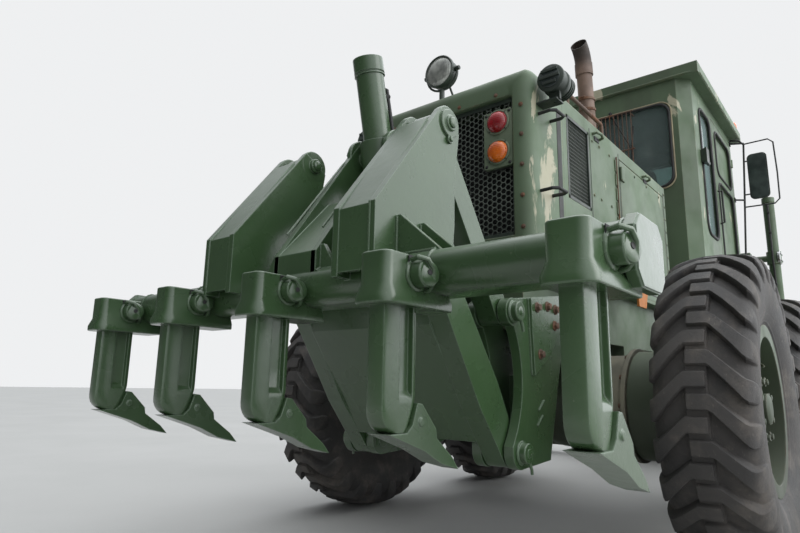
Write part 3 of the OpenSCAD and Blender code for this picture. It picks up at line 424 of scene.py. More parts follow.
class Shape:
    """Collects the points and faces of many small solids into one mesh."""

    def __init__(self):
        self.verts, self.faces = [], []

    def add(self, verts, faces, place=None):
        base = len(self.verts)
        self.verts += [place @ Vector(v) if place else Vector(v) for v in verts]
        self.faces += [tuple(i + base for i in face) for face in faces]

    def loft(self, rings, closed=False, place=None):
        """Skins rings of equally many points; closed joins the last ring to the first."""
        n = len(rings[0])
        verts = [v for ring in rings for v in ring]
        faces = []
        for k in range(len(rings) - (0 if closed else 1)):
            a, b = k * n, (k + 1) % len(rings) * n
            faces += [(a + i, a + (i + 1) % n, b + (i + 1) % n, b + i) for i in range(n)]
        if not closed:
            faces += [tuple(reversed(range(n))), tuple(range(len(verts) - n, len(verts)))]
        self.add(verts, faces, place)

    def lathe(self, profile, segments, place=None):
        """Turns a closed profile of (radius, height) about Z."""
        rings = [[(r * c, r * s, h) for r, h in profile] for c, s in around(segments)]
        self.loft(rings, closed=True, place=place)

    def turned(self, profile, segments, place=None):
        """Turns an open profile of (radius, height) about Z and closes both of its ends."""
        self.loft([[(r * c, r * s, h) for c, s in around(segments)] for r, h in profile], place=place)

    def box(self, a, b):
        """A box between any two opposite corners."""
        (x0, x1), (y0, y1), (z0, z1) = (sorted(pair) for pair in zip(a, b))
        self.loft([[(x, y0, z0), (x, y1, z0), (x, y1, z1), (x, y0, z1)] for x in (x0, x1)])

    def plate(self, outline, y0, y1):
        """A plate across the machine: its outline lies in the XZ plane."""
        self.loft([[(x, y, z) for x, z in outline] for y in (y0, y1)])

    def disc(self, centre, r, y0, y1, sides=32):
        """A round plate or pin across the machine, with broken edges."""
        soft = min(0.003, abs(y1 - y0) / 4)
        self.turned([(r - soft, 0), (r, soft), (r, abs(y1 - y0) - soft), (r - soft, abs(y1 - y0))], sides,
                    facing((centre[0], y0, centre[1]), (0, y1 - y0, 0)))

    def bar(self, a, b, r, sides=12):
        """A round bar between two points, with slightly broken edges."""
        length = (Vector(b) - Vector(a)).length
        soft = min(r * 0.18, length * 0.2)
        self.turned([(r - soft, 0), (r, soft), (r, length - soft), (r - soft, length)], sides,
                    facing(a, Vector(b) - Vector(a)))

    def bolt(self, place, direction, across=0.024, height=0.012):
        """A bolt's head on its washer, standing on a place."""
        stand = facing(place, direction)
        washer, corner = across * 0.85, across / sqrt(3)
        self.turned([(washer, -0.002), (washer, height * 0.22)], 14, stand)
        self.turned([(corner, height * 0.2), (corner, height * 0.9), (corner * 0.86, height)], 6, stand)

    def tube(self, path, r, sides=8, closed=False):
        """A round tube along a path, or a bead where r gives one radius for each point."""
        path = [Vector(p) for p in path]
        radii = r if isinstance(r, list) else [r] * len(path)
        count = len(path)
        rings, across = [], None
        for k, p in enumerate(path):
            ahead = path[(k + 1) % count] if closed or k < count - 1 else p
            behind = path[k - 1] if closed or k > 0 else p
            along = (ahead - behind).normalized()
            across = across or along.orthogonal().normalized()
            across = (across - along * across.dot(along)).normalized()
            side = along.cross(across)
            rings.append([p + radii[k] * (across * c + side * s) for c, s in around(sides)])
        self.loft(rings, closed=closed)

    def weld(self, path, r=0.006, ripple=0.012):
        """A weld bead along a path: a lumpy tube half sunk in the corner that it fills."""
        points, radii = [], []
        for a, b in zip(path, path[1:]):
            a, b = Vector(a), Vector(b)
            steps = max(2, int((b - a).length / (ripple / 2)))
            for k in range(steps):
                points.append(a.lerp(b, k / steps))
                radii.append(r * (0.86 + 0.2 * (len(points) % 2) + 0.16 * random.random()))
        points.append(Vector(path[-1]))
        radii.append(r * 0.6)
        self.tube(points, radii, 6)

    def piece(self, name, body, material, **options):
        return piece(name, self.verts, self.faces, body, material, **options)


def dress(body, replaces=None, **pieces):
    """Makes pieces that ride on one body: each name has its shape, finish and perhaps its crease angle."""
    for name, (shape, material, *sharp) in pieces.items():
        piece(name, shape.verts, shape.faces, body, material, replaces, *sharp)


random.seed(7)

# Tyres and wheels

WHEELS = [(row, side) for row in ("rear", "mid", "front") for side in ("left", "right")]
LUGS_A_SIDE = 26
LUG_PHASE = radians(2.7)
# Beyond this distance across, a lug's foot is sunk into the wall
SHOULDER, LUG_SINK = 0.15, 0.01
# Half of the carcass, from the crown to the bead: distance from the middle plane, share of the radius
CARCASS = ((0.0, 0.95), (0.035, 0.949), (0.075, 0.943), (0.11, 0.93), (0.138, 0.908), (0.156, 0.878),
           (0.166, 0.84), (0.17, 0.79), (0.1705, 0.75), (0.168, 0.7), (0.163, 0.655), (0.157, 0.615),
           (0.1535, 0.603), (0.1525, 0.592), (0.149, 0.583), (0.1475, 0.571), (0.1435, 0.562), (0.142, 0.548),
           (0.137, 0.54), (0.132, 0.52), (0.122, 0.506))
CROWN_RIB = ((0.038, 0.945), (0.034, 0.974), (0.0, 0.976), (-0.034, 0.974), (-0.038, 0.945), (0.0, 0.94))
# Middle line of a lug: distance across, share of the radius, lag round the tyre, half width, share at root
LUG_LINE = ((-0.031, 0.998, 0.0, 0.026, 0.935), (-0.027, 1.0, 0.0, 0.028, 0.935),
            (0.036, 0.9995, 0.0, 0.028, 0.935), (0.046, 0.998, -0.006, 0.029, 0.933),
            (0.08, 0.992, -0.04, 0.032, 0.925), (0.118, 0.98, -0.08, 0.036, 0.912),
            (0.14, 0.968, -0.104, 0.04, 0.89), (0.152, 0.955, -0.112, 0.042, 0.87),
            (0.163, 0.925, -0.114, 0.042, 0.85), (0.1705, 0.885, -0.115, 0.04, 0.82),
            (0.1735, 0.845, -0.115, 0.036, 0.8), (0.1715, 0.8, -0.115, 0.028, 0.78))
# Over a lug from edge to edge: place in half widths, share of its height
LUG_EDGE = ((-1.16, 0), (-1.05, 0.55), (-1.0, 0.86), (-0.88, 1), (0.88, 1), (1.0, 0.86), (1.05, 0.55),
            (1.16, 0))
# A disc's outer face, out from the tyre's middle plane, with its nuts and studs
DISC_FACE = 0.014
NUTS, NUT_CIRCLE, NUT_ACROSS, NUT_HIGH = 16, 0.25, 0.034, 0.026
STUD_R, STUD_LONG = 0.009, 0.042
HUB_OUT, HUB_BOLTS, HUB_CIRCLE = 0.11, 8, 0.118
HUB_CAP = ((0.062, -0.001), (0.062, 0.012), (0.05, 0.02), (0.02, 0.022))
# The valve stands at this angle and distance, and its stem bends: ahead, out, up
VALVE_AT, VALVE_CIRCLE, VALVE_OUT = 0.9, 0.268, 0.03
VALVE_STEM = ((0, -0.02, 0), (0, 0.015, 0), (-0.012, 0.045, -0.015), (-0.03, 0.07, -0.035))


def tyre_shape(radius, mirror):
    """A traction tyre about the Y axis, with two rows of bent lugs that interlock along its crown."""
    shape = Shape()
    for outline in (CARCASS + tuple((-y, r) for y, r in reversed(CARCASS[1:])), CROWN_RIB):
        shape.loft([[(-r * radius * c, y, r * radius * s) for y, r in outline]
                    for c, s in around(4 * LUGS_A_SIDE)], closed=True)
    for side in (1, -1):
        for k in range(LUGS_A_SIDE):
            middle = LUG_PHASE + (k + (0 if side == mirror else 0.5)) * 2 * pi / LUGS_A_SIDE
            rings = []
            for across, top, lag, half, root in LUG_LINE:
                ring = []
                for edge, share in LUG_EDGE:
                    r = radius * (root + (top - root) * share)
                    a = middle + (lag + edge * half) / radius
                    inward = LUG_SINK * (1 - share) if across > SHOULDER else 0.0
                    ring.append((-r * cos(a), side * (across - inward), r * sin(a)))
                rings.append(ring)
            shape.loft(rings)
    return shape


def make_tyres():
    for row, side in WHEELS:
        node = f"tyre_{row}_{side}"
        lo, hi = box_of(node)
        shape = tyre_shape((hi.z - lo.z) / 2, OUT[side])
        shape.verts = [v + (lo + hi) / 2 for v in shape.verts]
        shape.piece(f"tread_{row}_{side}", f"wheel_{row}_{side}", "tyre", replaces=node, sharp=30)


def make_wheel_nuts():
    """Studs and nuts on each wheel's disc, bolts and a cap on its hub, and the tyre's valve."""
    for row, name in WHEELS:
        side = OUT[name]
        out = Vector((0, side, 0))
        centre = middle_of(f"rim_{row}_{name}")
        centre.y = middle_of(f"tyre_{row}_{name}").y
        nuts, dark = Shape(), Shape()
        for c, s in around(NUTS):
            foot = centre + NUT_CIRCLE * Vector((c, 0, s)) + out * DISC_FACE
            nuts.bolt(foot, out, NUT_ACROSS, NUT_HIGH)
            nuts.bar(foot, foot + out * STUD_LONG, STUD_R, 8)
        hub = centre + out * HUB_OUT
        dark.turned(HUB_CAP, 24, facing(hub, out))
        for c, s in around(HUB_BOLTS, pi / HUB_BOLTS):
            dark.bolt(hub + HUB_CIRCLE * Vector((c, 0, s)), out, 0.022)
        valve = centre + VALVE_CIRCLE * Vector((cos(VALVE_AT), 0, sin(VALVE_AT))) + out * VALVE_OUT
        dark.tube([valve + Vector((x, side * y, z)) for x, y, z in VALVE_STEM], 0.006)
        nuts.piece(f"wheel_nuts_{row}_{name}", f"wheel_{row}_{name}", "rusty_bolt")
        dark.piece(f"hub_cap_{row}_{name}", f"wheel_{row}_{name}", "old_paint")


# Grille and screens

CAP_LO, CAP_HI = box_of("rear_cap")
GRILLE_X = box_of("grilles")[0].x
HOOD_SIDE = 0.47
# The cap's opening and the screened one in the hood's side
CAP_Z, CAP_HALF = (1.35, 2.0), 0.38
VENT_X, VENT_Z = (-1.03, -0.75), (1.6, 2.03)
MESH_PITCH, MESH_HOLE, MESH_T = 0.027, 0.022, 0.003
MESH_FOOT, MESH_HEAD = 0.012, 0.016
# The bars round the cap's opening: start and end from the mesh, width upright, width level
BAR_BACK, BAR_AHEAD, BAR_UP, BAR_LEVEL = 0.004, 0.008, 0.014, 0.02
VENT_IN, VENT_DEEP, VENT_BAR, VENT_COLUMNS, VENT_ROWS = 0.012, 0.013, 0.016, 17, 22
WIRE_R, WIRE_SHORT, WIRE_CROSS = 0.0026, 0.01, 0.002
# Keeps two faces apart that would else lie in one plane
EASE = 0.0005


def hexagon(x, y, z, across):
    r = across / sqrt(3)
    return [(x, y + r * c, z + r * s) for c, s in around(6)]


def make_grille():
    """The punched sheet behind the cap's opening, a wire screen in each side of the hood, their frames."""
    sheet, wires, bars = Shape(), Shape(), Shape()
    x = GRILLE_X + 2 * EASE
    column = MESH_PITCH * sqrt(3) / 2
    columns = int(2 * CAP_HALF / column)
    for i in range(columns):
        y = (i - (columns - 1) / 2) * column
        for j in range(int((CAP_Z[1] - CAP_Z[0]) / MESH_PITCH)):
            z = CAP_Z[0] + MESH_FOOT + MESH_PITCH * (j + 0.5 + 0.5 * (i % 2))
            if z <= CAP_Z[1] - MESH_HEAD:
                sheet.loft([hexagon(x, y, z, MESH_PITCH), hexagon(x, y, z, MESH_HOLE),
                            hexagon(x + MESH_T, y, z, MESH_HOLE), hexagon(x + MESH_T, y, z, MESH_PITCH)],
                           closed=True)
    dress("rear_frame", "grilles", grille_sheet=(sheet, "mesh_steel", 60))

    foot, head, half = CAP_Z[0] + 2 * EASE, CAP_Z[1] - 2 * EASE, CAP_HALF - 2 * EASE
    for y in (-CAP_HALF + EASE, CAP_HALF - EASE - BAR_UP):
        bars.box((x - BAR_BACK, y, foot), (x + BAR_AHEAD, y + BAR_UP, head))
    for z in (foot, head - BAR_LEVEL):
        bars.box((x - BAR_BACK, -half, z), (x + BAR_AHEAD, half, z + BAR_LEVEL))
    (a0, a1), (z0, z1) = VENT_X, VENT_Z
    for side in (-1, 1):
        face = side * (HOOD_SIDE - VENT_IN)
        proud, outer = face + side * WIRE_CROSS, face + side * VENT_DEEP
        for k in range(1, VENT_COLUMNS):
            a = a0 + (a1 - a0) * k / VENT_COLUMNS
            wires.bar((a, face, z0 + WIRE_SHORT), (a, face, z1 - WIRE_SHORT), WIRE_R, 6)
        for k in range(1, VENT_ROWS):
            z = z0 + (z1 - z0) * k / VENT_ROWS
            wires.bar((a0 + WIRE_SHORT, proud, z), (a1 - WIRE_SHORT, proud, z), WIRE_R, 6)
        for z in (z0 + EASE, z1 - EASE - VENT_BAR):
            bars.box((a0 + EASE, face, z), (a1 - EASE, outer, z + VENT_BAR))
        for a in (a0 + EASE, a1 - EASE - VENT_BAR):
            bars.box((a, face, z0 + 2 * EASE), (a + VENT_BAR, outer, z1 - 2 * EASE))
    dress("rear_frame", "grilles", side_screens=(wires, "mesh_steel"), grille_frames=(bars, "dark_paint"))


# Lamps

LAMP_Y, LAMP_R = -0.304, 0.05
LAMP_Z = {"lamp": 1.888, "amber_lens": 1.745}
PLATE_Y, PLATE_Z, PLATE_T, PLATE_R = (-0.376, -0.23), (1.672, 1.946), 0.02, 0.012
CAN_X, CAN_Y, CAN_Z, CAN_R = (-1.37, -1.27), 0.548, 2.044, 0.063
# A canister from its rim to its back, then the socket behind it: how far under CAN_R, place along it
CAN_SHELL = ((0.006, 0.0), (0.0, 0.004), (0.0, 0.014), (0.005, 0.018), (0.005, 0.06), (0.0, 0.064),
             (0.0, 0.08), (0.008, 0.1))
CAN_SOCKET = ((0.017, -0.001), (0.017, 0.044), (0.03, 0.05))
CAN_LENS = ((0.016, 0.0), (0.016, 0.004), (0.02, 0.006))
# The bars over a canister's lens: height from its middle, half length
CAN_BARS = ((0.026, 0.038), (-0.004, 0.046), (-0.032, 0.03))
WORK_X, WORK_Y, WORK_Z, WORK_R = (-1.335, -1.265), 0.08, 2.31, 0.085
WORK_SHELL = ((WORK_R - 0.006, 0.004), (WORK_R - 0.002, 0.0), (WORK_R + 0.002, 0.004),
              (WORK_R + 0.002, 0.02), (WORK_R - 0.004, 0.024), (WORK_R - 0.006, 0.07), (0.055, 0.096),
              (0.02, 0.105), (0.001, 0.106), (0.001, 0.09), (WORK_R - 0.012, 0.02))
WORK_LENS = ((WORK_R - 0.005, 0.01), (WORK_R - 0.012, 0.004), (0.05, -0.003), (0.02, -0.006),
             (0.002, -0.0065))
# The work lamp's cable: ahead of its stem, to the left, and height over the lamp's middle or over the cap
CABLE_HEAD = ((0.06, 0.0, -0.03), (0.085, -0.01, -0.09))
CABLE_FOOT = ((0.07, -0.02, 0.05), (0.04, -0.03, 0.002))
# A lens from rim to middle: share of its radius, share of its height
DOME = ((1.0, 0.0), (0.985, 0.16), (0.92, 0.34), (0.78, 0.5), (0.55, 0.62), (0.28, 0.68), (0.06, 0.7))


def lens_dome(shape, place, direction, r, height):
    top = DOME[-1][1]
    shape.turned([(r * a, height * h / top) for a, h in DOME], 28, facing(place, direction))


def ring_bezel(shape, place, direction, r, thick):
    shape.lathe([(r + thick * c, thick * s) for c, s in around(8)], 32, facing(place, direction))


def make_tail_lamps():
    """The red and the amber lens in their bezels, on a screwed plate over a rubber one."""
    face = GRILLE_X - PLATE_T
    w, h = PLATE_Y[1] - PLATE_Y[0], PLATE_Z[1] - PLATE_Z[0]
    y, z = sum(PLATE_Y) / 2, sum(PLATE_Z) / 2

    def slab(levels, r):
        shape = Shape()
        shape.loft([[(x, y + u, z + v) for u, v in round_rect(w + grow, h + grow, r)] for x, grow in levels])
        return shape

    plate = slab(((GRILLE_X, 0.0), (face + 0.002, 0.0), (face, -0.003)), PLATE_R)
    gap = slab(((GRILLE_X + EASE, 0.014), (GRILLE_X - 0.004, 0.014)), PLATE_R + 0.002)
    screws, bezels = Shape(), Shape()
    for u in (-1, 1):
        for v in (-1, 1):
            screws.bolt((face, y + u * (w / 2 - 0.014), z + v * (h / 2 - 0.014)), BACK, 0.009, 0.004)
    for name, height in LAMP_Z.items():
        bulb = Shape()
        bulb.bar((face + 0.004, LAMP_Y, height), (face - 0.012, LAMP_Y, height), LAMP_R, 28)
        lens_dome(bulb, (face - 0.01, LAMP_Y, height), BACK, LAMP_R - 0.002, 0.022)
        bulb.piece("tail_lens" if name == "lamp" else "signal_lens", "rear_frame", name,
                   replaces="rear_lamps", sharp=50)
        ring_bezel(bezels, (face - 0.003, LAMP_Y, height), BACK, LAMP_R + 0.005, 0.006)
        for c, s in around(4, radians(45)):
            ring = LAMP_R + 0.006
            screws.bolt((face - 0.006, LAMP_Y + ring * c, height + ring * s), BACK, 0.006, 0.004)
    dress("rear_frame", "rear_lamps", lamp_bezels=(bezels, "lamp_plate"), lamp_plate=(plate, "lamp_plate"),
          lamp_plate_gap=(gap, "rubber_trim"), lamp_screws=(screws, "black_steel"))


def make_canister_lamps():
    """A canister lamp on a bracket at each side of the cap, with three bars over its lens."""
    cans, lenses = Shape(), Shape()
    mouth, back = CAN_X
    foot = CAN_Z - CAN_R - 0.025

    def along_can(profile):
        return [(CAN_R - cut, h) for cut, h in profile]

    for side in (-1, 1):
        c = side * CAN_Y
        cans.turned(along_can(CAN_SHELL), 32, facing((mouth, c, CAN_Z), AHEAD))
        cans.turned(along_can(CAN_SOCKET), 24, facing((back, c, CAN_Z), AHEAD))
        for k in range(3):
            cans.turned(along_can(((0.006, 0.0), (0.006, 0.006))), 24,
                        facing((back + 0.008 + 0.014 * k, c, CAN_Z), AHEAD))
        cans.box((mouth + 0.02, side * (HOOD_SIDE + EASE), foot - 0.008),
                 (back - 0.01, c + side * 0.02, foot))
        cans.box((mouth + 0.04, c - 0.025, foot - 0.001), (mouth + 0.056, c + 0.025, CAN_Z - 0.05))
        cans.bolt((mouth + 0.06, c, foot), (0, 0, -1), 0.02, 0.01)
        lenses.turned(along_can(CAN_LENS), 28, facing((mouth + 0.001, c, CAN_Z), BACK))
        for v, half in CAN_BARS:
            cans.box((mouth - 0.012, c - half, CAN_Z + v), (mouth - 0.004, c + half, CAN_Z + v + 0.012))
    dress("rear_frame", "rear_lamps", canister_lamps=(cans, "dark_paint"),
          canister_lenses=(lenses, "mirror_glass"))


def make_work_lamp():
    """The round work lamp in its fork on top of the cap, with its cable."""
    shell, glass = Shape(), Shape()
    turn = facing((WORK_X[0], WORK_Y, WORK_Z), AHEAD)
    shell.lathe(WORK_SHELL, 36, turn)
    glass.turned(WORK_LENS, 36, turn)
    x = sum(WORK_X) / 2
    foot = CAP_HI.z + 0.0003
    prong = WORK_R + 0.01
    shell.tube([(x, WORK_Y - prong * cos(a), WORK_Z - prong * sin(a))
                for a in (pi * k / 12 for k in range(13))], 0.006, 8)
    for s in (-1, 1):
        inner, outer = (WORK_Y + s * (prong + reach) for reach in (-0.02, 0.014))
        shell.bar((x, inner, WORK_Z), (x, outer, WORK_Z), 0.012, 10)
    shell.bar((x, WORK_Y, foot), (x, WORK_Y, WORK_Z - prong + 0.002), 0.014, 12)
    shell.turned([(0.034, 0.0), (0.034, 0.01), (0.018, 0.018)], 20, facing((x, WORK_Y, foot), UP))
    shell.tube([(x + a, WORK_Y + b, level + c) for level, points in ((WORK_Z, CABLE_HEAD), (foot, CABLE_FOOT))
                for a, b, c in points], 0.006, 8)
    dress("rear_frame", "rear_lamps", work_lamp_shell=(shell, "dark_paint"),
          work_lamp_lens=(glass, "clear_lens", 60))


# Hood and its cap

# Seams across the hood's side: start, width; and the one along its foot: start, end, height
SEAMS_X, SEAM_WIDE, SEAM_Z, SEAM_T = (-0.738, -0.304, 0.574), 0.006, (1.29, 2.06), 0.0012
FOOT_SEAM = (-1.095, 0.6, 1.285)
CAP_SEAM_X, CAP_SEAM_Z, CAP_SEAM_T = (-1.142, -1.098), (1.3, 2.01), 0.0015
HINGE_X, HINGE_Z, HINGE_PITCH, HINGE_HIGH, HINGES = -0.356, 1.42, 0.085, 0.07, 7
CATCHES_X, CATCH_Z = (-0.64, 0.18), 2.045
# A catch's bow and a grab handle: along the hood, out of it, up
CATCH_BOW = ((-0.05, 0, 0), (-0.045, 0.022, 0.003), (0, 0.03, 0.007), (0.045, 0.022, 0.003), (0.05, 0, 0))
GRAB_X, GRABS_Z = -1.33, (1.91, 1.55)
GRAB_BOW = ((0, 0, 0), (0, 0.055, 0.002), (0.02, 0.075, 0.004), (0.1, 0.075, 0.006), (0.12, 0.055, 0.008),
            (0.12, 0, 0.008))
RIVETS_X, RIVETS_Z = (-0.7, -0.6, -0.45, -0.02, 0.21, 0.47), (1.33, 1.7, 2.0)
END_RIVETS = 9
FINS, FIN_Z, FIN_PITCH, FIN_T = 38, 1.3, 0.018, 0.003


def make_hood_trim():
    """Seams, hinges, catches, grab handles and rivets on the hood's sides."""
    dark, paint, rods = Shape(), Shape(), Shape()
    for side in (-1, 1):
        face = side * HOOD_SIDE

        def slab(shape, x_span, z_span, thick):
            shape.box((x_span[0], face - side * 2 * EASE, z_span[0]),
                      (x_span[1], face + side * thick, z_span[1]))

        def bow(shape, x, z, points):
            shape.tube([(x + a, face + side * b, z + c) for a, b, c in points], 0.008, 8)

        slab(dark, CAP_SEAM_X, CAP_SEAM_Z, CAP_SEAM_T)
        for x in SEAMS_X:
            slab(dark, (x, x + SEAM_WIDE), SEAM_Z, SEAM_T)
        slab(dark, FOOT_SEAM[:2], (FOOT_SEAM[2], FOOT_SEAM[2] + SEAM_WIDE), SEAM_T)
        for k in range(HINGES):
            z = HINGE_Z + HINGE_PITCH * k
            slab(paint, (HINGE_X - 0.016, HINGE_X + 0.016), (z, z + HINGE_HIGH), 0.006)
        rod = (HINGE_X, face + side * 0.007)
        rods.bar((*rod, HINGE_Z - 0.01), (*rod, HINGE_Z + HINGE_PITCH * HINGES + 0.005), 0.005, 8)
        for x in CATCHES_X:
            bow(paint, x, CATCH_Z, CATCH_BOW)
            slab(dark, (x - 0.03, x + 0.03), (CATCH_Z - 0.029, CATCH_Z - 0.005), 0.004)
        for z in GRABS_Z:
            bow(dark, GRAB_X, z, GRAB_BOW)
        for x in RIVETS_X:
            for z in RIVETS_Z:
                paint.bolt((x, face, z), (0, side, 0), 0.012, 0.005)
        for k in range(END_RIVETS):
            paint.bolt((0.6, face, RIVETS_Z[0] + 0.09 * k), (0, side, 0), 0.011, 0.004)
    dress("rear_frame", hood_seams=(dark, "rubber_trim"), hood_catches=(paint, "old_paint"),
          hood_hinge_rods=(rods, "rusty_bolt"))


def make_cap_screws():
    """The screws round the cap's opening and the radiator's fins behind it."""
    screws, fins = Shape(), Shape()
    for y in (-0.3, -0.1, 0.1, 0.3):
        screws.bolt((CAP_LO.x, y, CAP_Z[1] + 0.02), BACK, 0.012, 0.005)
    for side in (-1, 1):
        for k in range(5):
            screws.bolt((CAP_LO.x, side * 0.424, CAP_Z[0] + 0.03 + 0.14 * k), BACK, 0.012, 0.005)
    dress("rear_frame", cap_screws=(screws, "rusty_bolt"))
    x = box_of("radiator")[0].x
    half = CAP_HALF - 0.02
    for k in range(FINS):
        z = FIN_Z + FIN_PITCH * k
        fins.box((x - 0.004, -half, z), (x + 0.001, half, z + FIN_T))
    dress("rear_frame", radiator_fins=(fins, "black_steel"))


CAP_BASE, CAP_DEEP, CAP_WALL = 1.2503, 0.33, 0.04
# The cap's round edge above and its round bend behind
CAP_EDGE, CAP_BEND, CAP_LIP = 0.056, 0.07, 0.004
RAIL_X, RAIL_Y, RAIL_Z, RAIL_FOOT = (-0.939, -0.474), 0.442, 2.185, 2.095
RAIL_R, FLANGE = 0.011, ((0.022, 0.0), (0.022, 0.004), (0.014, 0.008))
STACK_FOOT, STACK_HEAD = Vector((0.38, -0.06, 2.12)), Vector((0.3, -0.06, 3.06))
CLAMPS_Z, CLAMP = (2.69, 2.77), ((0.054, 0.0), (0.062, 0.002), (0.062, 0.02), (0.054, 0.022))


def cap_loops():
    """The cap's outline seen from behind and its opening's, point for point, from one foot to the other."""
    top, right = CAP_HI.z - CAP_EDGE, HOOD_SIDE - CAP_EDGE
    outline = [(HOOD_SIDE, z) for z in (CAP_BASE, 1.4, 1.7)]
    outline += [(right + CAP_EDGE * c, top + CAP_EDGE * s) for c, s in QUARTER] + [(0.15, CAP_HI.z)]
    head = CAP_Z[1]
    opening = [(CAP_HALF, z) for z in (CAP_Z[0], 1.42, 1.7, head - 0.02, head - 0.02)]
    opening += [(CAP_HALF - 0.004 * k, head - 0.006 + 0.002 * k) for k in range(3)]
    opening += [(CAP_HALF - 0.02, head), (CAP_HALF - 0.02, head), (0.13, head)]
    return [points + [(-y, z) for y, z in reversed(points)] for points in (outline, opening)]


def make_rear_cap():
    """The hood's rear cap: a shell with round corners behind and above, and the grille's opening."""
    back, front = CAP_LO.x, CAP_LO.x + CAP_DEEP
    rings = []
    for (y, z), (u, v) in zip(*cap_loops()):
        side = 1 if y > 0 else -1

        def inset(d):
            return y - side * min(d, abs(y)), min(z, CAP_HI.z - d) if z > 1.9 else z

        lip = CAP_LIP if v > 1.5 else -CAP_LIP
        rings.append([(front, y, z)]
                     + [(back + CAP_BEND * (1 - s), *inset(CAP_BEND * (1 - c))) for c, s in QUARTER]
                     + [(back, u + side * CAP_LIP, v + lip), (back + CAP_LIP, u, v), (back + CAP_WALL, u, v),
                        (back + CAP_WALL, *inset(CAP_WALL + 0.02)), (back + 0.09, *inset(CAP_WALL)),
                        (front, *inset(CAP_WALL))])
    shell = Shape()
    shell.loft(rings, closed=True)
    dress("rear_frame", "rear_cap", cap_shell=(shell, "old_paint", 40))


def make_hood_rails():
    """A bent handrail on each of the hood's top edges, and the exhaust's two clamps."""
    rails, clamps = Shape(), Shape()
    rear, front = RAIL_X
    for side in (-1, 1):
        y = side * RAIL_Y
        rails.tube([(x, y, z) for x, z in (
            (rear, RAIL_FOOT), (rear, RAIL_Z - 0.015), (rear + 0.005, RAIL_Z - 0.004), (rear + 0.017, RAIL_Z),
            (front - 0.016, RAIL_Z), (front - 0.005, RAIL_Z - 0.004), (front, RAIL_Z - 0.015),
            (front, RAIL_FOOT))], RAIL_R, 12)
        for x in RAIL_X:
            rails.turned(FLANGE, 20, facing((x, y, RAIL_FOOT + 0.0045), UP))
    run = STACK_HEAD - STACK_FOOT
    for z in CLAMPS_Z:
        p = STACK_FOOT + run * ((z - STACK_FOOT.z) / run.z)
        clamps.lathe(CLAMP, 32, facing(p, run))
        clamps.bar(p + Vector((-0.075, -0.02, 0.01)), p + Vector((-0.075, 0.03, 0.01)), 0.006, 8)
    dress("rear_frame", hood_rails=(rails, "rusty_bolt"), exhaust_clamps=(clamps, "rusty_bolt"))


# Ripper

LOW_PIN, TOP_PIN = pivot("ripper_lift"), pivot("ripper_upper")
BEAM_PIN, RAM_PIN = pivot("ripper_level"), pivot("ripper_trunnion")
RAM_EYE = (-1.6, 0.52)
TOWER_PIN = (TOP_PIN[0] + BEAM_PIN[0] - LOW_PIN[0], TOP_PIN[1] + BEAM_PIN[1] - LOW_PIN[1])
SHANK_PITCH = 0.533
SHANK_X, SHANK_T = (-2.455, -2.315), 0.062
HEEL_R, HEEL_Z = 0.06, 0.645
TOE_Z, TOE_HIGH, TOE_BACK = 0.69, 0.105, 0.04
GROOVE, GROOVE_DEEP, GROOVE_FOOT, GROOVE_RUN = (0.065, 0.121), 0.016, 0.672, 0.022
SHANK_LEVELS = (1.019, 0.76, 0.696, 0.69, 0.682, 0.672, 0.66, 0.645, 0.63, 0.615, 0.603, 0.594, 0.588,
                0.586)
# A tooth's side view: ahead of the shank's front, height; and its half width at the shank and at the tip
TOOTH = ((-0.119, 0.585), (-0.047, 0.586), (-0.025, 0.606), (-0.005, 0.662), (0.016, 0.659), (0.084, 0.592),
         (0.089, 0.566), (0.17, 0.51), (0.205, 0.474), (0.115, 0.496), (0.029, 0.536))
TOOTH_HALF, TOOTH_TAPER, TAPER_FROM, TAPER_RUN = 0.039, 0.011, 0.025, 0.18
BEAM_X, BEAM_Z, BEAM_DEEP, BEAM_HIGH, BEAM_R, BEAM_END = -2.205, 1.028, 0.2, 0.13, 0.055, 1.13
END_Z, END_HALF, END_CUT = 1.015, 0.086, 0.034
# Layers of an end plate: share of its size, start, end
END_LAYERS = ((1.0, 0.0, 0.024), (0.965, 0.023, 0.029))
POCKET_HALF, POCKET_REAR, POCKET_FRONT, CAST_R = 0.052, -2.475, -2.2, 0.027
# A pocket's levels: height, growth past its wall
POCKET_LEVELS = ((0.915, 0.011), (0.918, 0.014), (0.936, 0.014), (0.968, 0.0), (1.053, 0.0), (1.056, -0.003))
CLIP, CLIP_R, CLIP_REACH = (-2.35, 1.005), 0.038, 0.04
CLIP_CAP = ((0.03, -0.012), (0.036, -0.006), (0.036, 0.002), (0.03, 0.006), (0.006, 0.006))
CLIP_TILT = (-0.25, -1, 0.12)
CLIP_WIRE = ((-0.03, 0, 0.034), (-0.034, -0.03, 0.04), (-0.012, -0.048, 0.034), (0.01, -0.05, 0.012),
             (0.018, -0.046, -0.02), (0.034, -0.02, -0.04), (0.036, 0, -0.044))
# Towers: middle of a pair of plates, from there to each plate's middle and to the ends of its pins
LINK_Y, TOWER_GAP, TOWER_T, PIN_HALF = 0.35, 0.075, 0.025, 0.105
TOWER_FACES = (LINK_Y - TOWER_GAP - TOWER_T / 2, LINK_Y + TOWER_GAP + TOWER_T / 2)
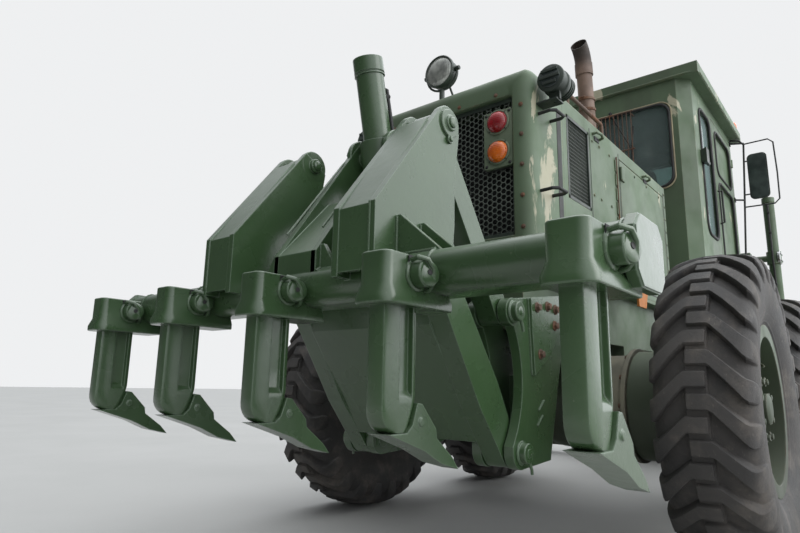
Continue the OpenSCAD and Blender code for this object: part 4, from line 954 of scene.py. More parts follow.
# A disc that rounds off a plate lies this far under the plate's faces
SUNK = 0.0008
TOWER_REAR, BACK_HALF = -2.363, 0.063
TOWER = ((TOWER_PIN[0] - 0.05, TOWER_PIN[1] + 0.045), (TOWER_REAR, 1.245), (TOWER_REAR, BEAM_Z),
         (-1.96, BEAM_Z), (BEAM_PIN[0] + 0.06, BEAM_PIN[1] - 0.02),
         (BEAM_PIN[0] + 0.06, BEAM_PIN[1] + 0.03), (-1.955, 1.19), (-1.948, 1.26), (-1.948, 1.42),
         (TOWER_PIN[0] + 0.052, TOWER_PIN[1] - 0.099), (TOWER_PIN[0] + 0.065, TOWER_PIN[1] - 0.019))
TOWER_BACK = ((TOWER_PIN[0] - 0.096, TOWER_PIN[1] - 0.005), (-2.361, 1.24), (-2.361, 1.04), (-2.341, 1.04),
              (-2.341, 1.233), (TOWER_PIN[0] - 0.08, TOWER_PIN[1] - 0.02))
CENTRE_FACE, BOSS_OUT = 0.1105, 0.016
CENTRE = ((RAM_PIN[0] - 0.02, RAM_PIN[1] + 0.078), (RAM_PIN[0] - 0.082, RAM_PIN[1] - 0.009), (-2.29, 1.15),
          (-2.29, BEAM_Z), (-2.09, BEAM_Z), (-2.09, 1.119), (-2.052, 1.304),
          (RAM_PIN[0] + 0.08, RAM_PIN[1] - 0.03))
CENTRE_BACK = ((-2.06, 1.4), (-2.29, 1.15), (-2.29, 1.075), (-2.266, 1.075), (-2.266, 1.142),
               (-2.042, 1.386))
# Ribs at the towers' feet: rear face, the face that they stand on, top, foot, reach
RIBS_X, RIB_T = (-2.262, -2.142), 0.016
RIBS = [(x, TOWER_FACES[1], 1.221, 1.093, 0.165) for x in RIBS_X]
RIBS += [(-2.27, CENTRE_FACE, 1.173, 1.091, 0.07)]
# The mount's outer face, the face of the plate that clamps it to the frame and the ends of its pins
MOUNT_FACE, CLAMP_FACE, PIN_END = 0.4403, 0.4583, 0.4703
CLAMP_PLATE = ((-1.424, 1.068), (-1.2, 1.097), (-1.164, 1.059), (-1.164, 0.949), (-1.248, 0.853),
               (-1.403, 0.758))
CLAMP_BOLTS = ((-1.372, 1.035), (-1.277, 1.049), (-1.2, 1.044), (-1.21, 0.973), (-1.353, 0.844))
RAIL_SIDE, RAIL_BOLTS_X, RAIL_BOLTS_Z = 0.4, (-1.12, -1.02, -0.92, -0.6, -0.5), (1.0, 1.2)


def shank_section(z):
    """A shank's plan at one height: round corners, and a groove in each side above its foot."""
    rear, front, half = SHANK_X[0], SHANK_X[1], SHANK_T / 2
    if z < HEEL_Z:
        rear += HEEL_R - sqrt(max(HEEL_R ** 2 - (HEEL_Z - z) ** 2, 0.0))
    if z < TOE_Z:
        front -= TOE_BACK * ((TOE_Z - z) / TOE_HIGH) ** 1.6
    depth = GROOVE_DEEP * min(max((z - GROOVE_FOOT) / GROOVE_RUN, 0.0), 1.0)
    g1 = min(SHANK_X[0] + GROOVE[1], front - 0.016)
    g0 = min(max(SHANK_X[0] + GROOVE[0], rear + 0.016), g1 - 0.004)
    one = [(rear, half - 0.014), (rear + 0.004, half - 0.004), (rear + 0.014, half), (g0, half),
           (g0 + 0.003, half - depth), (g1 - 0.003, half - depth), (g1, half), (front - 0.012, half),
           (front - 0.003, half - 0.004), (front, half - 0.012)]
    return one + [(x, -y) for x, y in reversed(one)]


def tooth_half(x):
    """Half of a tooth's width at a place ahead of its shank."""
    return TOOTH_HALF - TOOTH_TAPER * max(0.0, (x - TAPER_FROM) / TAPER_RUN)


def make_shanks():
    """Five shanks with a heel, grooved sides and a pinned tooth that narrows to its tip."""
    shanks, teeth = Shape(), Shape()
    front = SHANK_X[1]
    for i in range(-2, 3):
        y = i * SHANK_PITCH
        shanks.loft([[(x, y + v, z) for x, v in shank_section(z)] for z in SHANK_LEVELS])
        teeth.loft([[(front + x, y + side * tooth_half(x), z) for x, z in TOOTH] for side in (-1, 1)])
        teeth.disc((front + 0.01, 0.612), 0.012, y - 0.043, y + 0.043, 16)
    dress("ripper", "ripper_shanks", shanks=(shanks, "fresh_paint", 40), shank_teeth=(teeth, "fresh_paint"))


def pocket_ring(y, z, grow):
    """A pocket's plan at one height: open ahead into the beam, with round corners behind."""
    back, half, r = POCKET_REAR + CAST_R, POCKET_HALF, CAST_R + grow
    ring = [(POCKET_FRONT, y + half + grow, z)]
    for side, start in ((1, 90), (-1, 180)):
        for k in range(7):
            a = radians(start + 15 * k)
            ring.append((back + r * cos(a), y + side * (half - CAST_R) + r * sin(a), z))
    return ring + [(POCKET_FRONT, y - half - grow, z)]


def add_beam(beam, side):
    """The beam's end plate on one side, an octagon in two layers."""
    w, h = BEAM_DEEP / 2, END_HALF
    corners = [(-w + END_CUT, -h), (w - END_CUT, -h), (w, -h + END_CUT), (w, h - END_CUT), (w - END_CUT, h),
               (-w + END_CUT, h), (-w, h - END_CUT), (-w, -h + END_CUT)]
    for grow, y0, y1 in END_LAYERS:
        beam.plate([(BEAM_X + x * grow, END_Z + z * grow) for x, z in corners],
                   side * (BEAM_END + y0 - 2 * EASE), side * (BEAM_END + y1))


def add_tower(beam, side):
    """A tower's two plates with the back plate between them, and its two pins with their collars."""
    for y in (LINK_Y - TOWER_GAP, LINK_Y + TOWER_GAP):
        y0, y1 = side * (y - TOWER_T / 2), side * (y + TOWER_T / 2)
        beam.plate(TOWER, y0, y1)
        for pin, r in ((TOWER_PIN, 0.067), (BEAM_PIN, 0.064)):
            beam.disc(pin, r, y0 + side * SUNK, y1 - side * SUNK)
    beam.plate(TOWER_BACK, side * (LINK_Y - BACK_HALF), side * (LINK_Y + BACK_HALF))
    for pin in (TOWER_PIN, BEAM_PIN):
        beam.disc(pin, 0.03, side * (LINK_Y - PIN_HALF), side * (LINK_Y + PIN_HALF))
        beam.disc(pin, 0.052, side * (TOWER_FACES[1] - 2 * EASE), side * (TOWER_FACES[1] + 0.009))


def add_centre_tower(beam, side):
    """One plate of the middle tower, with the boss, cap and bolts of the cylinder's trunnion."""
    y0, y1 = side * (CENTRE_FACE - TOWER_T), side * CENTRE_FACE
    beam.plate(CENTRE, y0, y1)
    beam.disc(RAM_PIN, 0.085, y0 + side * SUNK, y1 - side * SUNK)
    beam.disc(RAM_PIN, 0.064, side * (CENTRE_FACE - 2 * EASE), side * (CENTRE_FACE + BOSS_OUT))
    beam.disc(RAM_PIN, 0.035, side * 0.068, side * (CENTRE_FACE + 0.024))
    cap = side * (CENTRE_FACE + BOSS_OUT - 2 * EASE)
    for c, s in around(3, radians(40)):
        beam.bolt((RAM_PIN[0] + 0.05 * c, cap, RAM_PIN[1] + 0.05 * s), (0, side, 0), 0.022)


def make_ripper_beam():
    """The beam with its cast pockets, end plates, two towers and the middle tower for the cylinder."""
    beam, cast = Shape(), Shape()
    beam.loft([[(BEAM_X + u, y, BEAM_Z + v) for u, v in round_rect(BEAM_DEEP, BEAM_HIGH, BEAM_R)]
               for y in (BEAM_END, -BEAM_END)])
    for side in (-1, 1):
        add_beam(beam, side)
        add_tower(beam, side)
        add_centre_tower(beam, side)
        for x, y, top, foot, reach in RIBS:
            rib = [(y - 0.001, top), (y + 0.014, top), (y + reach, foot), (y + reach, foot - 0.012),
                   (y - 0.001, foot - 0.012)]
            beam.loft([[(a, side * u, v) for u, v in rib] for a in (x, x + RIB_T)])
    beam.plate(CENTRE_BACK, -CENTRE_FACE + 0.005, CENTRE_FACE - 0.005)
    dress("ripper", "ripper_beam", ripper_frame=(beam, "fresh_paint"))
    for i in range(-2, 3):
        y = i * SHANK_PITCH
        cast.loft([pocket_ring(y, z, grow) for z, grow in POCKET_LEVELS])
        cast.disc(CLIP, CLIP_R, y - POCKET_HALF - CLIP_REACH, y + POCKET_HALF + 0.006)
    dress("ripper", "ripper_beam", shank_pockets=(cast, "fresh_paint", 40))


def make_mount_plates():
    """The plates that bolt the ripper's mount to the frame, and the bosses round its four pins."""
    plates = Shape()
    for side in (-1, 1):
        foot = side * (MOUNT_FACE - 2 * EASE)
        plates.plate(CLAMP_PLATE, foot, side * CLAMP_FACE)
        for p in (LOW_PIN, TOP_PIN):
            plates.disc(p, 0.046, foot, side * (MOUNT_FACE + 0.008))
            plates.disc(p, 0.038, foot, side * (PIN_END + 0.004))
    dress("rear_frame", mount_clamps=(plates, "fresh_paint"))


def over_beam(y, x0, x1, steps=6):
    """The line over the beam's top from x0 to x1 at one y, round its corners where it reaches them."""
    rear, front = BEAM_X - BEAM_DEEP / 2 + BEAM_R, BEAM_X + BEAM_DEEP / 2 - BEAM_R
    level = BEAM_Z + BEAM_HIGH / 2 - BEAM_R
    line = []
    for x, start in ((rear, 180), (front, 90)):
        for k in range(steps + 1):
            a = radians(start - 90 * k / steps)
            line.append((x + BEAM_R * cos(a), y, level + BEAM_R * sin(a)))
    return [p for p in line if x0 <= p[0] <= x1]


def make_ripper_welds():
    """Weld beads where the towers, their ribs and the shanks' pockets meet the beam."""
    beads = Shape()
    outer = TOWER_FACES[1]
    for side in (-1, 1):
        for y, x0, x1 in ((TOWER_FACES[0] - 0.003, -2.31, -2.1), (outer + 0.003, -2.31, -2.1),
                          (CENTRE_FACE + 0.003, -2.29, -2.09)):
            beads.weld(over_beam(side * y, x0, x1))
        beads.weld([(TOWER_REAR + 0.001, side * (outer - 0.022), z) for z in (1.245, 1.05)], 0.005)
        for x in RIBS_X:
            beads.weld([(x - 0.002, side * (outer + 0.002), z) for z in (1.215, 1.1)], 0.005)
            beads.weld([(x - 0.002, side * (outer + y), 1.094) for y in (0.15, 0.01)], 0.005)
        beads.weld([(-2.25, side * 0.094, 1.24), (-1.97, side * 0.094, 1.61)], 0.004, 0.02)
        for k in (1, 2):
            for s in (-1, 1):
                y = side * (k * SHANK_PITCH + s * (POCKET_HALF + 0.002))
                beads.weld(over_beam(y, -2.31, -2.2), 0.005)
    dress("ripper", ripper_welds=(beads, "fresh_paint"))


def make_pin_clips():
    """Rings, caps and bent clips of the shanks' pins, and the towers' pin ends with their keepers."""
    pins, slot_shade = Shape(), Shape()
    for i in range(-2, 3):
        for s in (-1, 1):
            y = i * SHANK_PITCH + s * (POCKET_HALF + 2 * EASE)
            ring_bezel(pins, (CLIP[0], y, CLIP[1]), (0, s, 0), 0.042, 0.007)
        place = Vector((CLIP[0], i * SHANK_PITCH - POCKET_HALF - 2 * EASE, CLIP[1]))
        tilt = facing(place - Vector((0, CLIP_REACH, 0)), CLIP_TILT)
        pins.turned(CLIP_CAP, 24, tilt)
        pins.tube([place + Vector(p) for p in CLIP_WIRE], 0.007, 8)
        # Painted shade: a dark disc on each pin's cap and a dark tab beside it stand for the shade inside
        # slots
        slot_shade.turned([(0.008, 0.004), (0.008, 0.0075)], 12, tilt)
        slot_shade.box(place + Vector((-0.04, -0.004, 0.026)), place + Vector((-0.016, -0.002, 0.048)))
    for x, z in (TOWER_PIN, BEAM_PIN):
        for side in (-1, 1):
            for end in (-1, 1):
                pins.turned([(0.02, -0.001), (0.02, 0.005), (0.014, 0.009)], 20,
                            facing((x, side * LINK_Y + end * PIN_HALF, z), (0, end, 0)))
            y = side * (TOWER_FACES[1] + 0.0035)
            pins.box((x - 0.012, y - 0.0035, z - 0.072), (x + 0.012, y + 0.0035, z - 0.03))
            pins.bolt((x, y + side * 0.003, z - 0.06), (0, side, 0), 0.018, 0.01)
    dress("ripper", pin_clips=(pins, "fresh_paint"), pin_slots=(slot_shade, "rubber_trim"))


def make_mount_trim():
    """Weld beads and pin ends on the ripper's mount, and the rusty bolts of its plates and of the frame."""
    mount, bolts = Shape(), Shape()
    for side in (-1, 1):
        y = side * (MOUNT_FACE + 0.002)
        mount.weld([(-1.421, y, 1.066), (-1.401, y, 0.76)], 0.007, 0.016)
        mount.weld([(-1.401, y, 0.758), (-1.25, y, 0.853), (-1.166, y, 0.949)], 0.006)
        for x, z in (LOW_PIN, TOP_PIN):
            end = side * PIN_END
            mount.turned([(0.018, -0.001), (0.018, 0.005), (0.012, 0.008)], 20,
                         facing((x, end, z), (0, side, 0)))
            mount.tube([(x + a, end - side * 0.004, z - b) for a, b in ((0.01, 0.028), (0.03, 0.062),
                                                                        (0.032, 0.078))], 0.006, 8)
        for x, z in ((-1.3, 0.66), (-1.315, 0.6)):
            mount.weld([(x - 0.05, y, z - 0.04), (x, y, z)], 0.004)
        for x, z in CLAMP_BOLTS:
            bolts.bolt((x, side * (CLAMP_FACE - 0.001), z), (0, side, 0), 0.026, 0.018)
        for x in RAIL_BOLTS_X:
            for z in RAIL_BOLTS_Z:
                bolts.bolt((x, side * RAIL_SIDE, z), (0, side, 0), 0.022, 0.014)
    dress("rear_frame", mount_welds=(mount, "fresh_paint"), mount_bolts=(bolts, "rusty_bolt"))


def make_link_welds():
    """Two short beads on each strap of the lower link."""
    links = Shape()
    for side in (-1, 1):
        for shift in (-0.02, 0.05):
            links.weld([(LOW_PIN[0] + shift - a, side * 0.333, LOW_PIN[1] + b)
                        for a, b in ((0.12, 0.2), (0.15, 0.24))], 0.004)
    dress("lower_link", link_welds=(links, "fresh_paint"))


def make_ram_trim():
    """The ripper cylinder's oil pipe with three clips, and the ring at its gland."""
    foot = Vector((RAM_PIN[0], 0, RAM_PIN[1]))
    along = (foot - Vector((RAM_EYE[0], 0, RAM_EYE[1]))).normalized()
    side = Vector((0.066, -0.03, 0.0))
    pipe, ring = Shape(), Shape()
    pipe.tube([foot + along * share + side * out for share, out in ((0.3, 0.85), (0.3, 1.0), (0.1, 1.05),
                                                                    (-0.15, 1.05))], 0.009, 10)
    for share in (0.26, 0.06, -0.1):
        pipe.bar(foot + along * share + side * 0.8, foot + along * (share + 0.016) + side * 1.12, 0.012, 8)
    dress("ripper_barrel", ram_pipe=(pipe, "black_steel"))
    ring.lathe([(0.0595, -0.004), (0.0645, -0.002), (0.0645, 0.002), (0.0595, 0.004)], 40,
               facing(foot + along * 0.34, along))
    dress("ripper_barrel", ram_ring=(ring, "fresh_paint"))


# Cab

CAB_REAR, CAB_FRONT, CAB_SIDE, WALL_FACE = 1.01, 2.57, 0.6, 0.6003
WINDOW_R = 0.09
# Windows: start and end across, then in height
REAR_WINDOW = ((-0.45, 0.45), (2.25, 2.93))
WIND_WINDOW = ((-0.51, 0.51), (1.72, 2.98))
SIDE_WINDOW = ((1.28, 1.65), (1.91, 2.96))
DOOR_ACROSS, DOOR_PANES = (1.825, 2.435), ((1.74, 2.48), (2.55, 2.955))
SEAL_OUT = 0.002
HANDLE_X, HANDLE_OUT, HANDLE_Z = 1.785, 0.03, (2.38, 2.375, 2.1, 2.095)
GUARD_IN, GUARD_WIRES, WIRE_FROM, WIRE_PITCH = 0.045, 19, 0.44, 0.034
GUARD_LEVELS, GUARD_SPAN = (2.27, 2.595, 2.92), (-0.19, 0.455)
GUARD_FEET_Y, GUARD_FEET_Z = (-0.18, 0.455), (2.3, 2.89)
LATCH_X, LATCH_Z = (1.235, 1.32), (2.46, 2.585)
SILL_X, SILL_Z = (CAB_REAR + 0.1, 1.7), (1.66, 1.668)
# Wipers: place of the spindle's foot and of its head, across, reach of the arm, its length, height
WIPERS = ((CAB_REAR + 0.008, CAB_REAR - 0.022, 0.0, -0.16, 0.36, 2.955),
          (CAB_FRONT + 0.002, CAB_FRONT + 0.022, -0.15, 0.24, 0.55, 2.985),
          (CAB_FRONT + 0.002, CAB_FRONT + 0.022, 0.28, -0.12, 0.55, 2.985))


def window_ring(shape, window, place, r=0.009, grow=0.0):
    """A rubber seal round a window; place turns a point across and up into one of the machine."""
    (a0, a1), (z0, z1) = window
    outline = round_rect(a1 - a0 + grow, z1 - z0 + grow, WINDOW_R, 8)
    shape.tube([place((a0 + a1) / 2 + u, (z0 + z1) / 2 + v) for u, v in outline], r, 8, closed=True)


def make_window_seals():
    """Seals round the fixed windows and the tan edge of the rear one."""
    seals, tan = Shape(), Shape()
    window_ring(seals, REAR_WINDOW, lambda a, z: (CAB_REAR - SEAL_OUT, a, z), 0.011)
    window_ring(tan, REAR_WINDOW, lambda a, z: (CAB_REAR - 0.003, a, z), 0.006, 0.03)
    window_ring(seals, WIND_WINDOW, lambda a, z: (CAB_FRONT + SEAL_OUT, a, z), 0.011)
    for side in (-1, 1):
        window_ring(seals, SIDE_WINDOW, lambda a, z: (a, side * (CAB_SIDE + SEAL_OUT), z), 0.012)
    dress("front_frame", window_seals=(seals, "rubber_trim"), rear_window_edge=(tan, "tan_trim"))


def make_door_trim():
    """The seals round each cab door's two panes, and its handle."""
    for name in ("right", "left"):
        side = OUT[name]
        door, handle = Shape(), Shape()
        for z_span in DOOR_PANES:
            window_ring(door, (DOOR_ACROSS, z_span), lambda a, z: (a, side * (CAB_SIDE + SEAL_OUT), z), 0.01)
        door.piece(f"door_seals_{name}", f"cab_door_{name}", "rubber_trim")
        handle.tube([(HANDLE_X, side * (CAB_SIDE + out), z)
                     for z, out in zip(HANDLE_Z, (0.0, HANDLE_OUT, HANDLE_OUT, 0.0))], 0.009, 8)
        handle.piece(f"door_handle_{name}", f"cab_door_{name}", "black_steel")


def make_cab_trim():
    """The rear window's guard, a latch on each side, gutters and sills, and three wipers."""
    guard, latch, gutter, wipers = Shape(), Shape(), Shape(), Shape()
    x = CAB_REAR - GUARD_IN
    for k in range(GUARD_WIRES):
        y = WIRE_FROM - WIRE_PITCH * k
        guard.bar((x, y, GUARD_LEVELS[0]), (x, y, GUARD_LEVELS[-1]), 0.0035, 6)
    for z in GUARD_LEVELS:
        guard.bar((x, GUARD_SPAN[0], z), (x, GUARD_SPAN[1], z), 0.006, 8)
    for y in GUARD_FEET_Y:
        for z in GUARD_FEET_Z:
            guard.bar((x, y, z), (CAB_REAR + SEAL_OUT, y, z), 0.006, 8)
    dress("front_frame", window_guard=(guard, "rusty_bolt"))

    (x0, x1), (z0, z1) = LATCH_X, LATCH_Z
    for side in (-1, 1):
        faces = sorted((side * (CAB_SIDE - 0.001), side * (CAB_SIDE + 0.045)))
        latch.loft([[(x0 + a, y, z0 + c), (x1 - a, y, z0 + c), (x1 - a, y, z1 - c), (x0 + a, y, z1 - c)]
                    for y, a, c in ((faces[0], 0.0, 0.0), (faces[1], 0.01, 0.015))])
        pin = side * (CAB_SIDE + 0.025)
        latch.bar((x1 + 0.01, pin, z0 + 0.03), (x1 + 0.06, pin, z0 + 0.03), 0.016, 10)
    dress("front_frame", cab_side_latches=(latch, "dark_paint"))

    lo, hi = box_of("cab_roof")
    middle = middle_of("cab_roof")
    gutter.tube([(middle.x + u, middle.y + v, lo.z + 0.012)
                 for u, v in round_rect(hi.x - lo.x, hi.y - lo.y, 0.08, 6)], 0.008, 8, closed=True)
    for side in (-1, 1):
        gutter.box((SILL_X[0], side * CAB_SIDE, SILL_Z[0]), (SILL_X[1], side * (CAB_SIDE + 0.006), SILL_Z[1]))
    for y in (-0.35, 0.35):
        gutter.bar((CAB_REAR - 0.0015, y, 1.6), (CAB_REAR - 0.0015, y, 2.2), 0.004, 6)
    dress("front_frame", cab_gutter=(gutter, "old_paint"))

    for root, x, y, reach, tall, z in WIPERS:
        tip = y + reach
        wipers.bar((root, y, z), (x, y, z), 0.014, 10)
        wipers.bar((x, y, z), (x, tip, z - tall), 0.005, 6)
        wipers.bar((x, tip - 0.02, z - tall + 0.2), (x, tip + 0.02, z - tall - 0.2), 0.006, 6)
    dress("front_frame", wipers=(wipers, "black_steel"))


MIRROR_X, MIRROR_Y, MIRROR_Z = CAB_FRONT + 0.03, (0.725, 0.89), (2.49, 2.94)
# A mirror's housing from its glass to its back: place, share of its size
MIRROR_RINGS = ((-0.015, 0.93), (-0.017, 0.985), (-0.01, 1.0), (0.004, 0.985), (0.016, 0.9), (0.026, 0.66),
                (0.03, 0.3))
GUARD_Y, GUARD_Z = 0.955, (2.43, 3.06)
ROD_FOOT, ROD_HEAD = (0.634, 1.9), (0.715, 3.08)
BEACON = (2.62, -0.62)
BEACON_BASE = ((0.055, 0.0), (0.055, 0.01), (0.05, 0.016))
BEACON_LENS = ((0.048, 0.014), (0.05, 0.018), (0.049, 0.07), (0.044, 0.092), (0.03, 0.106), (0.006, 0.11))


def on_rod(z):
    """How far out the mirror's leaning rod stands at a height."""
    share = (z - ROD_FOOT[1]) / (ROD_HEAD[1] - ROD_FOOT[1])
    return ROD_FOOT[0] + share * (ROD_HEAD[0] - ROD_FOOT[0])


def make_mirrors():
    """Mirrors in their bent guards on leaning rods at the cab's front corners."""
    rods, heads, panes = Shape(), Shape(), Shape()
    x, (reach, top), (low, high) = MIRROR_X, ROD_HEAD, GUARD_Z
    w, h = MIRROR_Y[1] - MIRROR_Y[0], MIRROR_Z[1] - MIRROR_Z[0]
    for s in (-1, 1):
        rods.tube([(x - 0.046, s * 0.605, top + 0.02), (x - 0.02, s * 0.68, top + 0.012),
                   (x, s * (reach - 0.004), top - 0.03), (x, s * on_rod(2.6), 2.6),
                   (x, s * ROD_FOOT[0], ROD_FOOT[1])], 0.009, 10)
        for z in (ROD_FOOT[1] + 0.01, 2.5, top - 0.015):
            rods.box((CAB_FRONT - 0.044, s * WALL_FACE, z - 0.02), (CAB_FRONT - 0.004, s * 0.609, z + 0.02))
            rods.bar((CAB_FRONT - 0.024, s * 0.608, z), (x, s * on_rod(z), z), 0.009, 8)
        loop = [(on_rod(low), low), (GUARD_Y - 0.04, low - 0.004), (GUARD_Y, low + 0.035),
                (GUARD_Y + 0.004, 2.72), (GUARD_Y - 0.004, high - 0.04), (GUARD_Y - 0.045, high),
                (on_rod(high), high - 0.004)]
        rods.tube([(x, s * y, z) for y, z in loop], 0.007, 8)
        for z in (MIRROR_Z[0] + 0.06, MIRROR_Z[1] - 0.06):
            rods.bar((x, s * on_rod(z), z), (x, s * (MIRROR_Y[0] + 0.01), z), 0.007, 8)
        y, z = s * sum(MIRROR_Y) / 2, sum(MIRROR_Z) / 2
        heads.loft([[(x + a, y + u * k, z + v * k) for u, v in round_rect(w, h, 0.045, 6)]
                    for a, k in MIRROR_RINGS])
        panes.loft([[(x + a, y + u, z + v) for u, v in round_rect(w - 0.02, h - 0.02, 0.035, 6)]
                    for a in (-0.0165, -0.0185)])
    dress("front_frame", "cab_fittings", mirror_rods=(rods, "black_steel"),
          mirror_heads=(heads, "dark_paint"), mirror_panes=(panes, "mirror_glass"))


def make_beacon():
    """The amber beacon on the roof's front corner."""
    base, cap = Shape(), Shape()
    stand = facing((*BEACON, box_of("cab_roof")[1].z + 0.0003), UP)
    base.turned(BEACON_BASE, 28, stand)
    cap.turned(BEACON_LENS, 28, stand)
    dress("front_frame", "cab_fittings", beacon_base=(base, "black_steel"),
          beacon_lens=(cap, "amber_lens", 50))


# Seat, from the cab's rear and its floor

FLOOR = 1.5803
CUSHION_AT, CUSHION_SIZE, CUSHION_SEAMS = (0.58, 0.335), (0.47, 0.46, 0.13), (-0.11, 0.0, 0.11)
BACKREST_AT, BACKREST_SIZE, BACKREST_SEAMS = (0.355, 0.675), (0.62, 0.44, 0.12), (-0.16, 0.0, 0.16)
BACKREST_LEAN = Matrix.Rotation(radians(-80), 4, "Y")
SEAM_WIDTH, SEAM_DEPTH = 0.01, 0.012
# The base's levels: length and width, height
BASE_LEVELS = ((0.34, 0.0), (0.34, 0.03), (0.3, 0.05), (0.28, 0.2), (0.38, 0.235), (0.42, 0.262))
# An armrest from behind: place along it, width
ARM = ((0.4, 0.04), (0.408, 0.062), (0.56, 0.066), (0.722, 0.062), (0.73, 0.04))
ARM_Y, ARM_Z = 0.262, 0.52


def in_cab(x, z):
    return Matrix.Translation((CAB_REAR + x, 0, FLOOR + z))


def squared(value, power):
    """A sine or cosine whose wave is made squarer by a power under one."""
    return copysign(abs(value) ** power, value)


def cushion(name, place, size, seams):
    """A crowned pad with sewn channels across it and a piped seam round its middle."""
    pad, piping = Shape(), Shape()
    rings = []
    for j in range(21):
        v = -pi / 2 + pi * j / 20
        ring = []
        for c, s in around(56):
            x = size[0] / 2 * squared(cos(v), 0.34) * squared(c, 0.38)
            y = size[1] / 2 * squared(cos(v), 0.34) * squared(s, 0.38)
            z = size[2] / 2 * squared(sin(v), 0.62)
            if v > 0.2:
                z -= SEAM_DEPTH * sum(exp(-((x - seam) / SEAM_WIDTH) ** 2) for seam in seams)
            ring.append((x, y, z))
        rings.append(ring)
    pad.loft(rings, place=place)
    piping.tube([place @ Vector((x * 1.004, y * 1.004, z)) for x, y, z in rings[10]], 0.005, 6, closed=True)
    pad.piece(name, "front_frame", "seat", replaces="seat", sharp=70)
    piping.piece(f"{name}_piping", "front_frame", "rubber_trim", replaces="seat")


def make_seat():
    """The driver's seat: a bolster-edged cushion and back on a sprung base, with two armrests."""
    cushion("seat_cushion", in_cab(*CUSHION_AT), CUSHION_SIZE, CUSHION_SEAMS)
    cushion("seat_back", in_cab(*BACKREST_AT) @ BACKREST_LEAN, BACKREST_SIZE, BACKREST_SEAMS)
    base, arms = Shape(), Shape()
    base.loft([[(CAB_REAR + 0.56 + u, v, FLOOR + z) for u, v in round_rect(w, w, 0.03)]
               for w, z in BASE_LEVELS])
    for s in (-1, 1):
        base.tube([(CAB_REAR + 0.42, s * y, FLOOR + z)
                   for y, z in ((0.2, 0.27), (0.245, 0.3), (ARM_Y, 0.48))], 0.012, 8)
        arms.loft([[(CAB_REAR + x, s * ARM_Y + u, FLOOR + ARM_Z + v)
                    for u, v in round_rect(w, w * 0.72, w * 0.3)] for x, w in ARM])
    dress("front_frame", "seat", seat_base=(base, "black_steel"), seat_arms=(arms, "seat"))


# Running gear, blade and frame

AXLE_X, AXLE_Z = (-0.76, 0.76), (AXLE_LO.z + AXLE_HI.z) / 2
DRUM_Y, DRUM_R, DRUM_LIP = (0.497, 0.672), 0.224, 0.03
LIFT_X, LIFT_Y, LIFT_CAP_Z = 2.95, 0.82, 1.98
# The lift cylinder's pipe below its head: behind the cylinder's middle, height
PIPE = ((0.068, 2.1), (0.085, 2.05), (0.085, 1.92), (0.068, 1.88), (0.066, 1.56), (0.055, 1.53))
PIPE_CLIPS = (2.42, 2.22, 1.72)
EDGE_BOLTS, EDGE_BOLTS_IN, EDGE_X = 17, 0.1, 3.047
LEDGE_X, LEDGE_Y, LEDGE_Z = (-1.16, -0.42), (0.402, 0.6), (1.232, 1.244)
BRACKET, BRACKET_Y = ((-0.36, 1.15), (-0.24, 1.15), (-0.2, 1.24), (-0.36, 1.24)), (0.545, 0.557)
STEPS_Z, STEP_Y, STEP_HALF = (0.748, 1.018, 1.288), 0.645, 0.095
TREADS, TREAD_X, TREAD_PITCH, TREAD_WIDE = 9, 1.815, 0.032, 0.012


def make_brake_drums():
    """The four drums between the wheels and the tandem cases, with their bolts."""
    drums, bolts = Shape(), Shape()
    deep = DRUM_Y[1] - DRUM_Y[0]
    circle = DRUM_R + DRUM_LIP / 2
    for side in (-1, 1):
        for x in AXLE_X:
            drums.turned([(DRUM_R - 0.07, 0.0), (DRUM_R - 0.012, 0.004), (DRUM_R, 0.016),
                          (DRUM_R, deep - 0.024), (DRUM_R + DRUM_LIP, deep - 0.02),
                          (DRUM_R + DRUM_LIP, deep)], 48, facing((x, side * DRUM_Y[0], AXLE_Z), (0, side, 0)))
            for c, s in around(12):
                place = (x + circle * c, side * (DRUM_Y[1] - 0.02), AXLE_Z + circle * s)
                bolts.bolt(place, (0, -side, 0), 0.018)
    dress("rear_frame", brake_drums=(drums, "drum_paint"), drum_bolts=(bolts, "rusty_bolt"))


def make_lift_trim():
    """The lift cylinders' pipes with their clips, and the bolted caps of their trunnions."""
    for name in ("right", "left"):
        side = OUT[name]
        x, y = LIFT_X, side * LIFT_Y
        head = box_of(f"lift_barrel_{name}")[1].z
        pipe, cap = Shape(), Shape()
        pipe.tube([(x - a, y, z) for a, z in ((0.055, head - 0.07), (0.066, head - 0.1)) + PIPE], 0.009, 8)
        for z in PIPE_CLIPS:
            pipe.bar((x - 0.078, y, z), (x - 0.046, y, z), 0.013, 8)
        pipe.piece(f"lift_pipe_{name}", "front_frame", "rubber_trim")
        cap.turned([(0.072, 0.0), (0.072, 0.018), (0.066, 0.022)], 28,
                   facing((x, y + side * 0.035, LIFT_CAP_Z), (0, side, 0)))
        for a in (radians(degrees) for degrees in (40, 140, 220, 320)):
            ray = 0.05 * Vector((cos(a), 0, sin(a)))
            cap.bolt(Vector((x, y + side * 0.055, LIFT_CAP_Z)) + ray, (0, side, 0), 0.018)
        cap.piece(f"lift_bolts_{name}", "front_frame", "rod_chrome")


def make_blade_trim():
    """The bolts of the cutting edge along the blade's foot."""
    lo, hi = box_of("moldboard")
    bolts = Shape()
    for k in range(EDGE_BOLTS):
        y = lo.y + EDGE_BOLTS_IN + k * (hi.y - lo.y - 2 * EDGE_BOLTS_IN) / (EDGE_BOLTS - 1)
        bolts.bolt((EDGE_X, y, lo.z + 0.1), (1, 0, 0.75), 0.022, 0.008)
    dress("moldboard", edge_bolts=(bolts, "rusty_bolt"))


